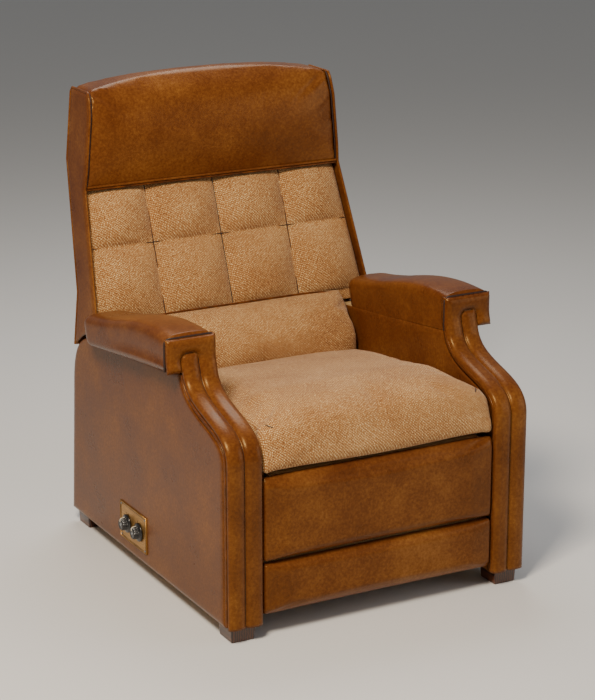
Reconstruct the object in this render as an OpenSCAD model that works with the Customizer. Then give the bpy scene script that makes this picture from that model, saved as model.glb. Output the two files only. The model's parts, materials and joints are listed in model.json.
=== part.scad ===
// Push-back recliner armchair with an upholstered legrest and two comfort-control knobs.
// +Z is up and the chair faces -Y. The origin is the centre of its footprint, on the floor.
// Lengths named _y are measured rearward from the foremost plane of the chair.

/* [Overall size] */
// Width over the arm pads
overall_w = 832; // [780:1:960]
// Depth from the legrest face to the rear of the back
overall_d = 924; // [900:1:980]
// Height to the crown of the headrest
overall_h = 1100; // [1080:1:1180]

/* [Arms] */
// Thickness of each arm, outside to inside
arm_t = 85; // [75:1:100]
// Overhang of the arm pad past the outside of the arm
pad_overhang = 36; // [20:1:50]
// Set-back of the pad front behind the foremost plane
pad_front_y = 217; // [200:1:240]
// Underside of the pad at its front
pad_under_z = 561; // [550:1:580]
// Height of the pad at its front
pad_h = 76; // [60:1:90]
// Thickness of the padded roll down the front of each arm
roll_t = 20; // [14:1:24]
// Height at which the arm front starts to sweep back
knee_z = 410; // [390:1:420]
// Thickness of the outside panel of each arm
outer_panel_t = 6; // [4:0.5:10]
// Thickness of the padded inside panel of each arm
inner_panel_t = 12; // [8:0.5:18]

/* [Feet] */
// Height of the feet
foot_h = 36; // [25:1:50]
// Width of a foot
foot_w = 59; // [40:1:64]
// Depth of a foot
foot_d = 65; // [45:1:75]

/* [Seat] */
// Underside of the seat cushion
seat_z = 381; // [381:1:388]
// Thickness of the seat cushion behind its front roll
seat_t = 116; // [100:1:122]
// Drop of the seat top from its front to its back
seat_drop = 73; // [40:1:80]
// Thickness of the bolster between the seat and the back
lumbar_t = 129; // [120:1:150]

/* [Back] */
// Lean of the back from vertical, in degrees
back_lean = 20.5; // [19:0.1:21]
// Lean of the outside of the back from vertical, in degrees
rear_lean = 19.45; // [18:0.05:20]
// Thickness of the back at its foot
back_t = 105; // [100:1:112]
// Set-in of the foot of the back from the outside of the arms
back_set_in = 2; // [1:0.5:20]
// Narrowing of each side of the back, foot to crown
back_taper = 53; // [30:1:60]
// Height of the headrest
headrest_h = 256; // [220:1:280]
// Thickness of the padding on the back
back_pad_t = 38; // [30:1:40]

/* [Legrest] */
// Underside of the legrest
legrest_low_z = 52; // [45:1:80]
// Height of the tuck between its two pads
legrest_tuck_z = 174; // [140:1:220]
// Thickness of its padding
legrest_pad_t = 25; // [20:1:25]

/* [Mechanism] */
// Diameter of the recline pivot bolts
bolt_d = 10; // [8:0.5:12]
// Diameter of the linkage pins
pin_d = 8; // [6:0.5:9]
// Thickness of the steel plates
plate_t = 6; // [4:0.5:6]
// Play of the drive pin in its slot
slot_play = 3; // [2:0.5:4]
// Play of the crank pin in the eye of its rod
eye_play = 5.5; // [5:0.5:8]
// Running clearance of a pin in its hole, on the diameter
run_fit = 0.6; // [0.4:0.1:1]

/* [Controls] */
// Length of the control plate
plate_len = 144; // [130:1:160]
// Height of the control plate
plate_high = 90; // [70:1:100]
// Diameter of a knob's skirt
knob_d = 44; // [30:1:50]
// Distance between the two knobs
knob_pitch = 64; // [56:1:80]
// Diameter of a switch spindle
spindle_d = 6; // [5:0.5:8]

/* [Hidden] */
$fn = 64;

half_w = overall_w / 2;
arm_out = half_w - pad_overhang;            // outside of the arm
arm_in = arm_out - arm_t;                   // inside of the arm
frame_out = arm_out - outer_panel_t;
frame_in = arm_in + inner_panel_t;
soft_gap = 1.5;                             // between a soft piece and what it moves past
touch_gap = 0.5;                            // between soft pieces that sit together

// Rear of the arm: a slightly raked edge and a rounded shoulder
arm_rear_y = overall_d - 67;
shoulder_y = arm_rear_y - 29;
shoulder_z = 380;
shoulder_start_y = arm_rear_y - 117;
pad_slope = 0.116;                          // fall of the arm top per unit of depth

function arm_top_z(y) = pad_under_z - (y - pad_front_y) * pad_slope;
function mix(a, b, t) = a + (b - a) * t;
function bezier(p, t) = let(u = 1 - t)
  u*u*u*p[0] + 3*u*u*t*p[1] + 3*u*t*t*p[2] + t*t*t*p[3];
function bezier_dir(p, t) = let(u = 1 - t,
  d = 3*u*u*(p[1] - p[0]) + 6*u*t*(p[2] - p[1]) + 3*t*t*(p[3] - p[2])) d / norm(d);

// The sweep of the arm front, from the knee back and up to the pad
sweep = [[0, knee_z], [2, knee_z + 95], [pad_front_y - 27, pad_under_z - 91],
         [pad_front_y - 9, pad_under_z]];
shoulder = [[shoulder_start_y, arm_top_z(shoulder_start_y)],
            [shoulder_start_y + 60, arm_top_z(shoulder_start_y) - 17],
            [shoulder_y - 6, shoulder_z + 60], [shoulder_y, shoulder_z]];
sweep_steps = 12;

// Front edge of the arm, moved inward by an inset
function arm_front(inset) = concat([[inset, foot_h]],
  [for (i = [0 : sweep_steps]) let(t = i / sweep_steps, d = bezier_dir(sweep, t))
    bezier(sweep, t) + inset * [d[1], -d[0]]]);

// Rear edge of the arm, moved forward by an inset
function arm_rear(inset) = concat(
  [for (i = [0 : 6]) bezier(shoulder, i / 6) - [inset, 0]],
  [[arm_rear_y - inset, foot_h]]);

// Whole side outline of an arm
function arm_outline(front_in, rear_in) = concat(arm_front(front_in),
  [[pad_front_y + 20, arm_top_z(pad_front_y + 20)]], arm_rear(rear_in));

// Back: front and rear lines seen from the side
back_foot_z = arm_top_z(arm_rear_y - 145) - 25.5;
back_ref_z = back_foot_z + 99;              // height at which back_t is measured
back_low_z = back_foot_z - 12;              // lower edge of the outside of the back
back_kink_z = back_foot_z + 117;
back_top_kink_z = overall_h - 202;
back_rear_low_y = overall_d - (back_top_kink_z - back_kink_z) * tan(rear_lean);
back_front_y = back_rear_low_y - back_t;
function back_front(z) = back_front_y + (z - back_ref_z) * tan(back_lean);
back_foot_half_w = arm_out - back_set_in;
back_crown_half_w = back_foot_half_w - back_taper;
back_cover_t = 6;
headrest_z = overall_h - headrest_h;
cap_under_z = overall_h - 36;
crown_h = 28;                               // rise of the headrest crown over its ends
post_d = 32;

// Rear line of the back, moved forward by an inset
function back_rear(inset) = [[back_rear_low_y - inset, back_low_z],
  [back_rear_low_y - inset, back_kink_z], [overall_d - inset, back_top_kink_z],
  [overall_d - inset, cap_under_z]];
function back_half_w(z, inset) = mix(back_foot_half_w, back_crown_half_w,
  (z - back_foot_z) / (overall_h - crown_h - back_foot_z)) - inset;

// Pivots
recline_y = back_front_y + 15;
recline_z = seat_z + 39;
legrest_pivot_y = legrest_pad_t + 6;
legrest_pivot_z = seat_z - 33;
slot_drop = 112;                            // drive pin below the recline pivot
rod_drop = 216;                             // rod pin below the recline pivot
rod_back = 8;                               // rod pin behind the recline pivot
crank_back = 20;                            // crank pin behind the legrest pivot
crank_drop = 35;                            // crank pin below the legrest pivot
recline_max = 28;                           // degrees
rod_pin = [recline_y + rod_back, recline_z - rod_drop];
crank_pin = [legrest_pivot_y + crank_back, legrest_pivot_z - crank_drop];
slot_pin = [recline_y, recline_z - slot_drop];

// Side-by-side lanes of the mechanism, as distances from the centre plane
lane_gap = 1;
bracket_x = arm_in - plate_t;               // fixed plates, against the arm
lever_x = bracket_x - lane_gap - plate_t;   // levers and cranks
rod_x = lever_x - lane_gap - plate_t;       // rods and drive brackets
rail_t = 22;
rail_out = rod_x - 1;                       // outer face of the seat side rails
post_w = 22;

// Seat frame
seat_d = back_front_y - lumbar_t;
rail_top = seat_z - 10;
rail_h = 50;
seat_front_y = legrest_pivot_y + 28;
wire_d = 4;
deck_t = 6;
track_z = rail_top - 24;
track_in_h = 21;
track_wall = 2.5;
track_y = [75, seat_d + 17];
glide_l = 40;
glide_ys = [130, seat_d - 83];

// Legrest
legrest_half_w = arm_in - 2;
legrest_top_z = legrest_pivot_z + 22;
board_t = 18;

// Controls, on the outside of the right arm
plate_y = 486;
plate_z = 110;
plate_thick = 2.5;
knob_z = plate_z - 2;
knob_grip_d = 0.7 * knob_d;
knob_skirt_t = 4;
knob_grip_h = 14;
knob_gap = 1;
box_l = plate_len - 24;
box_h = plate_high - 18;
box_d = 36;
window_gap = 1;

vinyl = "#8a5320";
tweed = "#b08a66";
frame_wood = "#c9a876";
foot_wood = "#5a3018";
steel = "#8f9296";
gilt = "#b9975a";
black = "#1c1a19";

// Puts a piece that is drawn from the foremost plane into the chair's own frame
module place() { translate([0, -overall_d / 2, 0]) children(); }
// The sitter's right is -X
module right() { place() mirror([1, 0, 0]) children(); }
module left() { place() children(); }
module both() { right() children(); left() children(); }
// Extrudes a (depth, height) outline from x0 to x1
module slab(x0, x1) { translate([x0, 0, 0]) rotate([90, 0, 90]) linear_extrude(x1 - x0) children(); }
// Extrudes an (across, height) outline over the whole depth
module through() { translate([0, overall_d, 0]) rotate([90, 0, 0]) linear_extrude(overall_d) children(); }
// A round bar or hole along X
module bar(p, x0, x1, d) { translate([x0, p[0], p[1]]) rotate([0, 90, 0]) cylinder(d = d, h = x1 - x0); }
// A flat link between two points with round ends
module link(a, b, w) {
  l = norm(b - a);
  translate(a) rotate(atan2(b[1] - a[1], b[0] - a[0])) {
    circle(d = w);
    translate([0, -w / 2]) square([l, w]);
    translate([l, 0]) circle(d = w);
  }
}

// ---- Arms -----------------------------------------------------------------

module outer_panel(window) {
  difference() {
    slab(frame_out, arm_out) polygon(arm_outline(roll_t, 0));
    if (window) {
      translate([frame_out - 1, plate_y - box_l / 2 - window_gap, plate_z - box_h / 2 - window_gap])
        cube([outer_panel_t + 2, box_l + 2 * window_gap, box_h + 2 * window_gap]);
      translate([frame_out - 1, 0, 0]) at_screws() cylinder(d = screw_core_d, h = outer_panel_t + 2);
    }
  }
}
module right_outer_panel() { color(vinyl) right() outer_panel(true); }
module left_outer_panel() { color(vinyl) left() outer_panel(false); }

module inner_panel() { slab(arm_in, frame_in) polygon(arm_outline(roll_t, back_cover_t)); }
module right_inner_panel() { color(vinyl) right() inner_panel(); }
module left_inner_panel() { color(vinyl) left() inner_panel(); }

// Open timber frame inside an arm
module arm_frame() {
  slab(frame_in, frame_out) difference() {
    polygon(arm_outline(roll_t, back_cover_t));
    polygon([[70, foot_h + 26], [70, knee_z - 10], [pad_front_y, pad_under_z - 55],
      [shoulder_start_y - 20, arm_top_z(shoulder_start_y) - 38], [shoulder_y - 50, shoulder_z],
      [arm_rear_y - 50, foot_h + 26]]);
  }
}
module right_arm_frame() { color(frame_wood) right() arm_frame(); }
module left_arm_frame() { color(frame_wood) left() arm_frame(); }

// Padded roll that follows the sweep of the arm front
module front_roll() {
  outer = arm_front(0);
  inner = arm_front(roll_t);
  slab(arm_in, arm_out) polygon(concat(outer, [for (i = [len(inner) - 1 : -1 : 0]) inner[i]]));
}
module right_front_roll() { color(vinyl) right() front_roll(); }
module left_front_roll() { color(vinyl) left() front_roll(); }

// Arm pad, cut at its rear to the lean of the back
pad_in = arm_in + 4;
cap_t = 12;
pad_back_gap = 8;
pad_rear_top_z = pad_under_z + 15;
module arm_pad() {
  low_y = back_front(arm_top_z(back_front_y - 30)) - pad_back_gap;
  top_y = back_front(pad_rear_top_z) - pad_back_gap;
  slab(pad_in, half_w) polygon([[pad_front_y + cap_t, arm_top_z(pad_front_y + cap_t)],
    [pad_front_y + cap_t, pad_under_z + pad_h], [pad_front_y + 85, pad_under_z + pad_h + 7],
    [pad_front_y + 185, pad_under_z + pad_h + 4], [mix(pad_front_y, top_y, 0.73), pad_under_z + pad_h - 23],
    [top_y, pad_rear_top_z], [low_y, arm_top_z(low_y)]]);
}
module right_arm_pad() { color(vinyl) right() arm_pad(); }
module left_arm_pad() { color(vinyl) left() arm_pad(); }

module pad_cap() {
  slab(pad_in, half_w) polygon([[pad_front_y, pad_under_z], [pad_front_y, pad_under_z + pad_h - 3],
    [pad_front_y + 3, pad_under_z + pad_h], [pad_front_y + cap_t, pad_under_z + pad_h],
    [pad_front_y + cap_t, arm_top_z(pad_front_y + cap_t)]]);
}
module right_pad_cap() { color(vinyl) right() pad_cap(); }
module left_pad_cap() { color(vinyl) left() pad_cap(); }

// ---- Base -----------------------------------------------------------------

foot_side_in = 11;
foot_front_in = 10;
foot_rear_in = 9;
module foot(y) { translate([arm_out - foot_side_in - foot_w, y, 0]) cube([foot_w, foot_d, foot_h]); }
rear_foot_y = arm_rear_y - foot_rear_in - foot_d;
module front_right_foot() { color(foot_wood) right() foot(foot_front_in); }
module front_left_foot() { color(foot_wood) left() foot(foot_front_in); }
module rear_right_foot() { color(foot_wood) right() foot(rear_foot_y); }
module rear_left_foot() { color(foot_wood) left() foot(rear_foot_y); }

cross_rail_low = foot_h + 26;
cross_rail_h = 70;
module cross_rail(y) { translate([-arm_in, y, cross_rail_low]) cube([2 * arm_in, rail_t, cross_rail_h]); }
module base_front_rail() { color(frame_wood) place() cross_rail(legrest_pivot_y + 40); }
module base_rear_rail() { color(frame_wood) place() cross_rail(arm_rear_y - 57); }

// Rear panel, up the raked rear edge and over the start of the shoulder
module rear_panel() {
  steps = [6 : -1 : 3];
  color(vinyl) place() slab(-frame_out, frame_out) polygon(concat(
    [[arm_rear_y - back_cover_t, foot_h], [arm_rear_y, foot_h]],
    [for (i = steps) bezier(shoulder, i / 6)],
    [for (i = [3 : 6]) bezier(shoulder, i / 6) - [back_cover_t, 0]]));
}

// Steel channel in which the seat slides
module seat_track() {
  low = track_z - track_in_h / 2 - track_wall;
  difference() {
    translate([arm_in - 12, track_y[0], low])
      cube([12, track_y[1] - track_y[0], track_in_h + 2 * track_wall]);
    translate([arm_in - 13, track_y[0] - 1, low + track_wall])
      cube([13 - track_wall, track_y[1] - track_y[0] + 2, track_in_h]);
  }
}
module seat_tracks() { color(steel) both() seat_track(); }

module recline_brackets() {
  color(steel) both() difference() {
    slab(bracket_x, arm_in) link([recline_y, recline_z - 45], [recline_y, recline_z + 15], 50);
    bar([recline_y, recline_z], bracket_x - 1, arm_in + 1, bolt_d);
  }
}
module recline_bolts() {
  color(steel) both() {
    bar([recline_y, recline_z], lever_x - post_w - 1, arm_in, bolt_d);
    bar([recline_y, recline_z], lever_x - post_w - 7, lever_x - post_w - 1, 1.8 * bolt_d);
  }
}

// ---- Controls -------------------------------------------------------------

plate_face = arm_out + plate_thick;
knob_ys = [plate_y - knob_pitch / 2, plate_y + knob_pitch / 2];
screw_in = 7;
screw_d = 5;
screw_core_d = 2.6;
module at_screws() {
  for (sy = [-1, 1], sz = [-1, 1])
    translate([0, plate_y + sy * (plate_len / 2 - screw_in), plate_z + sz * (plate_high / 2 - screw_in)])
      rotate([0, 90, 0]) children();
}
module control_plate() {
  color(gilt) right() difference() {
    translate([arm_out, plate_y - plate_len / 2, plate_z - plate_high / 2])
      cube([plate_thick, plate_len, plate_high]);
    for (y = knob_ys) bar([y, knob_z], arm_out - 1, plate_face + 1, spindle_d + 2);
    translate([arm_out - 1, 0, 0]) at_screws() cylinder(d = screw_core_d, h = plate_thick + 2);
  }
}
module plate_screws() {
  color(steel) right() {
    translate([plate_face, 0, 0]) at_screws() cylinder(d = screw_d, h = 1.2);
    translate([arm_out - outer_panel_t, 0, 0]) at_screws() cylinder(d = screw_core_d, h = outer_panel_t + plate_thick);
  }
}
// Switch box behind the plate
module control_box() {
  color(steel) right() difference() {
    translate([arm_out - box_d, plate_y - box_l / 2, plate_z - box_h / 2]) cube([box_d, box_l, box_h]);
    for (y = knob_ys) bar([y, knob_z], arm_out - 20, arm_out + 1, spindle_d + 0.4);
  }
}
module spindle(y) { bar([y, knob_z], arm_out - 19, plate_face + knob_gap + knob_skirt_t + 8, spindle_d); }
module front_spindle() { color(steel) right() spindle(knob_ys[0]); }
module rear_spindle() { color(steel) right() spindle(knob_ys[1]); }
module knob(y) {
  base = plate_face + knob_gap;
  difference() {
    union() {
      bar([y, knob_z], base, base + knob_skirt_t, knob_d);
      bar([y, knob_z], base + knob_skirt_t, base + knob_skirt_t + knob_grip_h, knob_grip_d);
    }
    bar([y, knob_z], base - 1, base + knob_skirt_t + 8, spindle_d);
  }
}
module front_knob() { color(black) right() knob(knob_ys[0]); }
module rear_knob() { color(black) right() knob(knob_ys[1]); }

// Mains inlet, low on the inside of the rear rail
inlet_x = 180;
module power_inlet() {
  color(black) place() translate([-inlet_x, arm_rear_y - 57 - 24, cross_rail_low + 14]) difference() {
    cube([46, 24, 30]);
    translate([8, -1, 7]) cube([30, 15, 16]);
  }
}

// ---- Seat -----------------------------------------------------------------

rail_in = rail_out - rail_t;
module seat_side_rails() {
  color(frame_wood) both()
    translate([rail_in, seat_front_y, rail_top - rail_h]) cube([rail_t, seat_d - seat_front_y, rail_h]);
}
module seat_cross_rails() {
  color(frame_wood) place() for (y = [seat_front_y, seat_d - rail_t])
    translate([-rail_in, y, rail_top - rail_h]) cube([2 * rail_in, rail_t, rail_h]);
}
// Flat zigzag wire along depth
spring_n = 5;
spring_half = 22;
zig_n = 24;
module zigzag(l) {
  step = l / zig_n;
  for (i = [0 : zig_n - 1]) {
    s = i % 2 == 0 ? 1 : -1;
    translate([s * spring_half - wire_d / 2, i * step - wire_d / 2]) square([wire_d, step + wire_d]);
    if (i > 0) translate([-spring_half - wire_d / 2, i * step - wire_d / 2])
      square([2 * spring_half + wire_d, wire_d]);
  }
}
module seat_springs() {
  l = seat_d - seat_front_y - 2 * rail_t + 24;
  color(steel) place() for (i = [0 : spring_n - 1])
    translate([(i - (spring_n - 1) / 2) * 2 * rail_in / spring_n, seat_front_y + rail_t - 12, rail_top])
      linear_extrude(wire_d) zigzag(l);
}
module seat_deck() {
  color("#cfc4ae") place() translate([-rail_out, seat_front_y, rail_top + wire_d])
    cube([2 * rail_out, seat_d - seat_front_y, deck_t]);
}
// Seat cushion: rolled front edge, top falling toward the back
module seat_cushion() {
  half = arm_in - soft_gap;
  top = seat_z + seat_t;
  color(tweed) place() slab(-half, half) polygon([[8, seat_z], [0, seat_z + 14], [0, seat_z + seat_t - 45],
    [8, top - 20], [30, top - 4], [80, top + 4], [160, top + 4],
    [seat_d * 0.7, top - seat_drop * 0.5], [seat_d, top - seat_drop], [seat_d, seat_z]]);
}
// Nylon blocks that run in the tracks
module seat_glides() {
  color("ivory") both() for (y = glide_ys)
    translate([rail_out, y, track_z - track_in_h / 2 + 0.5])
      cube([arm_in - track_wall - 1 - rail_out, glide_l, track_in_h - 1]);
}
// Hinge plates of the legrest, on the front of the seat frame
ear_w = 18;
ear_l = 65;
module legrest_ears() {
  color(steel) both() difference() {
    slab(rail_out, rail_out + plate_t)
      link([legrest_pivot_y, legrest_pivot_z], [legrest_pivot_y + ear_l, legrest_pivot_z], ear_w);
    bar([legrest_pivot_y, legrest_pivot_z], rail_out - 1, rail_out + plate_t + 1, pin_d);
  }
}
module legrest_pins() {
  color(steel) both() {
    bar([legrest_pivot_y, legrest_pivot_z], rail_out - 2, lever_x + plate_t + 2, pin_d);
    bar([legrest_pivot_y, legrest_pivot_z], rail_out - 6, rail_out - 2, pin_d + 6);
  }
}
// Plates with an upright slot, pushed by the recline levers
slot_rise = 14;
drive_front = [seat_d - 21, rail_top - rail_h + 12];
module drive_brackets() {
  w = 44;
  color(steel) both() difference() {
    slab(rail_out, rail_out + plate_t) union() {
      link(drive_front, slot_pin + [0, 15], 30);
      link(slot_pin + [0, -4], slot_pin + [0, slot_rise + 12], w);
    }
    slab(rail_out - 1, rail_out + plate_t + 1)
      link(slot_pin + [0, -slot_play / 2], slot_pin + [0, slot_rise + slot_play / 2], pin_d + slot_play);
  }
}
motor_d = 90;
motor_y = (seat_front_y + seat_d) / 2;
module motor_bracket() {
  color(steel) place() translate([-rail_in, motor_y - 25, rail_top - rail_h + 2]) cube([2 * rail_in, 50, 3]);
}
module massage_motor() {
  color("#5b5e60") place() translate([0, motor_y, rail_top - rail_h + 5]) {
    cylinder(d = motor_d, h = 30);
    translate([0, 0, 30]) cylinder(d = motor_d - 30, h = 8);
  }
}

// ---- Back -----------------------------------------------------------------

// Front view of the back, narrowed on each side by an inset; z_hi cuts it off
crown_steps = 9;
module back_front_view(inset) {
  end_z = overall_h - crown_h;
  low_z = back_foot_z - 20;
  w_low = back_half_w(low_z, inset);
  w_high = back_half_w(end_z, inset);
  polygon(concat([[w_low, low_z], [-w_low, low_z], [-w_high, end_z - 6]],
    [for (i = [-crown_steps : crown_steps]) let(t = 0.97 * i / crown_steps)
      [t * w_high, overall_h - crown_h * pow(abs(t), 2.4)]],
    [[w_high, end_z - 6]]));
}
// Depth section of a back piece, cut to the front view
module back_piece(points, inset) {
  intersection() {
    slab(-overall_w / 2, overall_w / 2) polygon(points);
    through() back_front_view(inset);
  }
}
side_t = 6;
head_front_y = back_front(headrest_z) - 2;
// Lower edge of a side band: it clears the arm at every angle of the recline.
// Angles are measured from upright, about the recline pivot.
wing_gap = 3;
wing_front_z = back_foot_z + 32;
pivot = [recline_y, recline_z];
arm_over_pivot = concat([for (y = [recline_y - 40 : 5 : shoulder_start_y]) [y, arm_top_z(y)]],
  [for (i = [0 : 20]) bezier(shoulder, i / 20)]);
function wing_edge(a) = pivot + [sin(a), cos(a)] * (wing_gap + max([for (p = arm_over_pivot)
  let(d = p - pivot, at = atan2(d[0], d[1])) if (at > a - 4 && at < a + recline_max + 4) norm(d)]));
wing_rear_y = back_rear_low_y - back_cover_t;
wing_low = concat([[back_front(wing_front_z), wing_front_z]],
  [for (a = [5 : 10 : 45]) let(p = wing_edge(a)) if (p[0] < wing_rear_y - 5) p],
  [[wing_rear_y, back_low_z]]);
head_front = [[head_front_y, headrest_z], [head_front_y - 4, headrest_z + 40],
  [head_front_y - 4, overall_h - 85], [head_front_y + 6, overall_h - 45],
  [head_front_y + 26, overall_h - 18], [head_front_y + 55, overall_h]];

module outside_back() {
  color(vinyl) place() back_piece(concat(back_rear(0),
    [for (i = [3 : -1 : 0]) back_rear(back_cover_t)[i]]), 0);
}
head_rear = [[overall_d - 30, overall_h], [overall_d - 10, overall_h - 12], [overall_d, cap_under_z]];
module back_side() {
  difference() {
    intersection() {
      slab(0, half_w) polygon(concat(wing_low, [back_rear(back_cover_t)[1], back_rear(back_cover_t)[2],
        back_rear(back_cover_t)[3]], [head_rear[2], head_rear[1], head_rear[0]],
        [for (i = [5 : -1 : 0]) head_front[i]]));
      through() back_front_view(0);
    }
    translate([0, -1, 0]) scale([1, 1.01, 1]) through() back_front_view(side_t);
  }
}
module right_back_side() { color(vinyl) right() back_side(); }
module left_back_side() { color(vinyl) left() back_side(); }

module back_cushion() {
  low = cushion_low_z;
  color(tweed) place() back_piece([[back_front(low), low], [back_front(headrest_z) - 2, headrest_z - 1],
    [back_front(headrest_z) + back_pad_t, headrest_z - 1], [back_front(low) + back_pad_t, low]],
    side_t + touch_gap);
}
// Headrest: down the front, and over the crown to the outside back
module headrest_cushion() {
  inner_y = back_front(headrest_z) + back_pad_t;
  color(vinyl) place() back_piece(concat(head_front, head_rear,
    [[inner_y, cap_under_z], [inner_y, headrest_z]]), side_t + touch_gap);
}
// Bolster between the arms, sitting against the foot of the back
lumbar_front_y = seat_d + soft_gap;
lumbar_top_z = back_foot_z + 73;
cushion_low_z = back_foot_z + 34;
module lumbar_cushion() {
  half = arm_in - soft_gap - 2;
  h = lumbar_top_z - seat_z;
  foot_y = recline_y - 40;
  color(tweed) place() slab(-half, half) polygon([[lumbar_front_y + 4, seat_z + 8],
    [lumbar_front_y, seat_z + 30], [lumbar_front_y, seat_z + 0.4 * h],
    [lumbar_front_y + 12, seat_z + 0.58 * h], [lumbar_front_y + 40, seat_z + 0.75 * h],
    [lumbar_front_y + 75, seat_z + 0.88 * h], [back_front(lumbar_top_z) - touch_gap, lumbar_top_z],
    [back_front(cushion_low_z) - touch_gap, cushion_low_z], [foot_y, seat_z + 0.47 * h], [foot_y, seat_z + 8]]);
}
// Posts of the back frame, from below the pivots to the headrest
post_below = 20;                            // reach of a post below the pivot
post_foot = pivot - [5 + post_d / 2, post_below];
post_kink = [back_rear_low_y - back_cover_t - post_d, back_kink_z];
post_head_y = overall_d - back_cover_t - post_d;
post_line = [post_foot, post_kink, [post_head_y, back_top_kink_z], [post_head_y, cap_under_z - 4]];
module back_posts() {
  rear = [for (p = post_line) p + [post_d, 0]];
  color(frame_wood) both() difference() {
    slab(lever_x - post_w, lever_x) polygon(concat(rear, [for (i = [3 : -1 : 0]) post_line[i]]));
    bar(pivot, lever_x - post_w - 1, lever_x + 1, bolt_d + run_fit);
  }
}
// Cross rails of the back frame, screwed to the front of the posts
back_rail_t = 14;
back_rail_h = 40;
low_rail_z = back_foot_z + 42;
top_rail_z = overall_h - 84;
function post_front(z) = lookup(z, [for (p = post_line) [p[1], p[0]]]);
module back_rails() {
  color(frame_wood) place() for (z = [low_rail_z, mix(low_rail_z, top_rail_z, 0.32), top_rail_z]) {
    end_z = z + back_rail_h;
    back_piece([[post_front(z) - back_rail_t, z], [post_front(end_z) - back_rail_t, end_z],
      [post_front(end_z), end_z], [post_front(z), z]], side_t + 3);
  }
}
// Flat zigzag springs down the back, clipped behind the cross rails
module back_springs() {
  low = low_rail_z + 2 * back_rail_h;
  top = top_rail_z - 136;
  a = [post_front(low) + 2, low];
  b = [post_front(top) + 2, top];
  tilt = atan2(b[0] - a[0], b[1] - a[1]);
  color(steel) place() for (i = [-1.5 : 1 : 1.5])
    translate([i * 120, a[0], a[1]]) rotate([90 - tilt, 0, 0])
      translate([0, 0, -wire_d]) linear_extrude(wire_d) zigzag(norm(b - a));
}
// Levers, screwed to the outside of the posts
lever_w = 28;
lever_top = [post_front(low_rail_z + 10) + post_d / 2 + 2, low_rail_z + 10];
module recline_levers() {
  color(steel) both() difference() {
    slab(lever_x, lever_x + plate_t) union() {
      link(pivot, rod_pin, lever_w);
      link(pivot, lever_top, lever_w);
    }
    bar([recline_y, recline_z], lever_x - 1, lever_x + plate_t + 1, bolt_d + run_fit);
    bar(rod_pin, lever_x - 1, lever_x + plate_t + 1, pin_d);
    bar(slot_pin, lever_x - 1, lever_x + plate_t + 1, pin_d);
  }
}
module lever_pins() {
  color(steel) both() for (p = [rod_pin, slot_pin]) bar(p, rod_x - 1, lever_x + plate_t, pin_d);
}

// ---- Legrest --------------------------------------------------------------

top_round = 20;
hinge_room = 1.5;                           // round the hinge plates, in the pad
module legrest_upper_pad() {
  round_at = [top_round, legrest_top_z - top_round];
  hinge = [legrest_pivot_y, legrest_pivot_z];
  color(vinyl) place() difference() {
    slab(-legrest_half_w, legrest_half_w) polygon(concat(
      [[0, legrest_tuck_z + 2]],
      [for (a = [180 : -15 : 90]) round_at + top_round * [cos(a), sin(a)]],
      [[legrest_pad_t, legrest_top_z], [legrest_pad_t, legrest_tuck_z + 2]]));
    for (side = [0, 1]) mirror([side, 0, 0])
      slab(rail_out - 6 - hinge_room, legrest_half_w + 1)
        link(hinge, hinge + [0, 2 * ear_w], ear_w + 2 * hinge_room);
  }
}
module legrest_lower_pad() {
  r = 12;
  color(vinyl) place() slab(-legrest_half_w, legrest_half_w) polygon(concat(
    [[0, legrest_tuck_z - 2]], [for (a = [180 : 15 : 270]) [r, legrest_low_z + r] + r * [cos(a), sin(a)]],
    [[legrest_pad_t, legrest_low_z], [legrest_pad_t, legrest_tuck_z - 2]]));
}
// Plywood board, notched at its top corners for the ears and rods
notch_z = legrest_pivot_z - 78;
module legrest_board() {
  color(frame_wood) place() {
    translate([-lever_x, legrest_pad_t, legrest_low_z + 6]) cube([2 * lever_x, board_t, notch_z - legrest_low_z - 6]);
    translate([-rail_in - 14, legrest_pad_t, notch_z]) cube([2 * rail_in + 28, board_t, legrest_top_z - 4 - notch_z]);
  }
}
module legrest_back_cover() {
  color("#3a3026") place() translate([-rail_in, legrest_pad_t + board_t, legrest_low_z + 12])
    cube([2 * rail_in, 1.5, legrest_top_z - legrest_low_z - 22]);
}
module legrest_cranks() {
  hinge = [legrest_pivot_y, legrest_pivot_z];
  color(steel) both() difference() {
    slab(lever_x, lever_x + plate_t) union() {
      intersection() {
        link(hinge, [legrest_pad_t + 9, legrest_tuck_z + 6], 20);
        translate([legrest_pad_t + 0.5, 100]) square([40, 300]);
      }
      intersection() {
        link(hinge, crank_pin, 20);
        translate([legrest_pad_t + 0.5, 100]) square([60, 300]);
      }
    }
    bar(hinge, lever_x - 1, lever_x + plate_t + 1, pin_d + run_fit);
    bar(crank_pin, lever_x - 1, lever_x + plate_t + 1, pin_d);
  }
}
module crank_pins() { color(steel) both() bar(crank_pin, rod_x - 1, lever_x + plate_t, pin_d); }

// Rods from the recline levers to the legrest cranks, with a roomy eye at the crank
eye_wall = 5;
module push_rods() {
  color(steel) both() difference() {
    slab(rod_x + 0.5, rod_x + plate_t - 0.5) union() {
      link(crank_pin, rod_pin, 14);
      translate(crank_pin) circle(d = pin_d + eye_play + 2 * eye_wall);
      translate(rod_pin) circle(d = 20);
    }
    bar(rod_pin, rod_x - 1, rod_x + plate_t + 1, pin_d + run_fit);
    bar(crank_pin, rod_x - 1, rod_x + plate_t + 1, pin_d + eye_play);
  }
}

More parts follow.
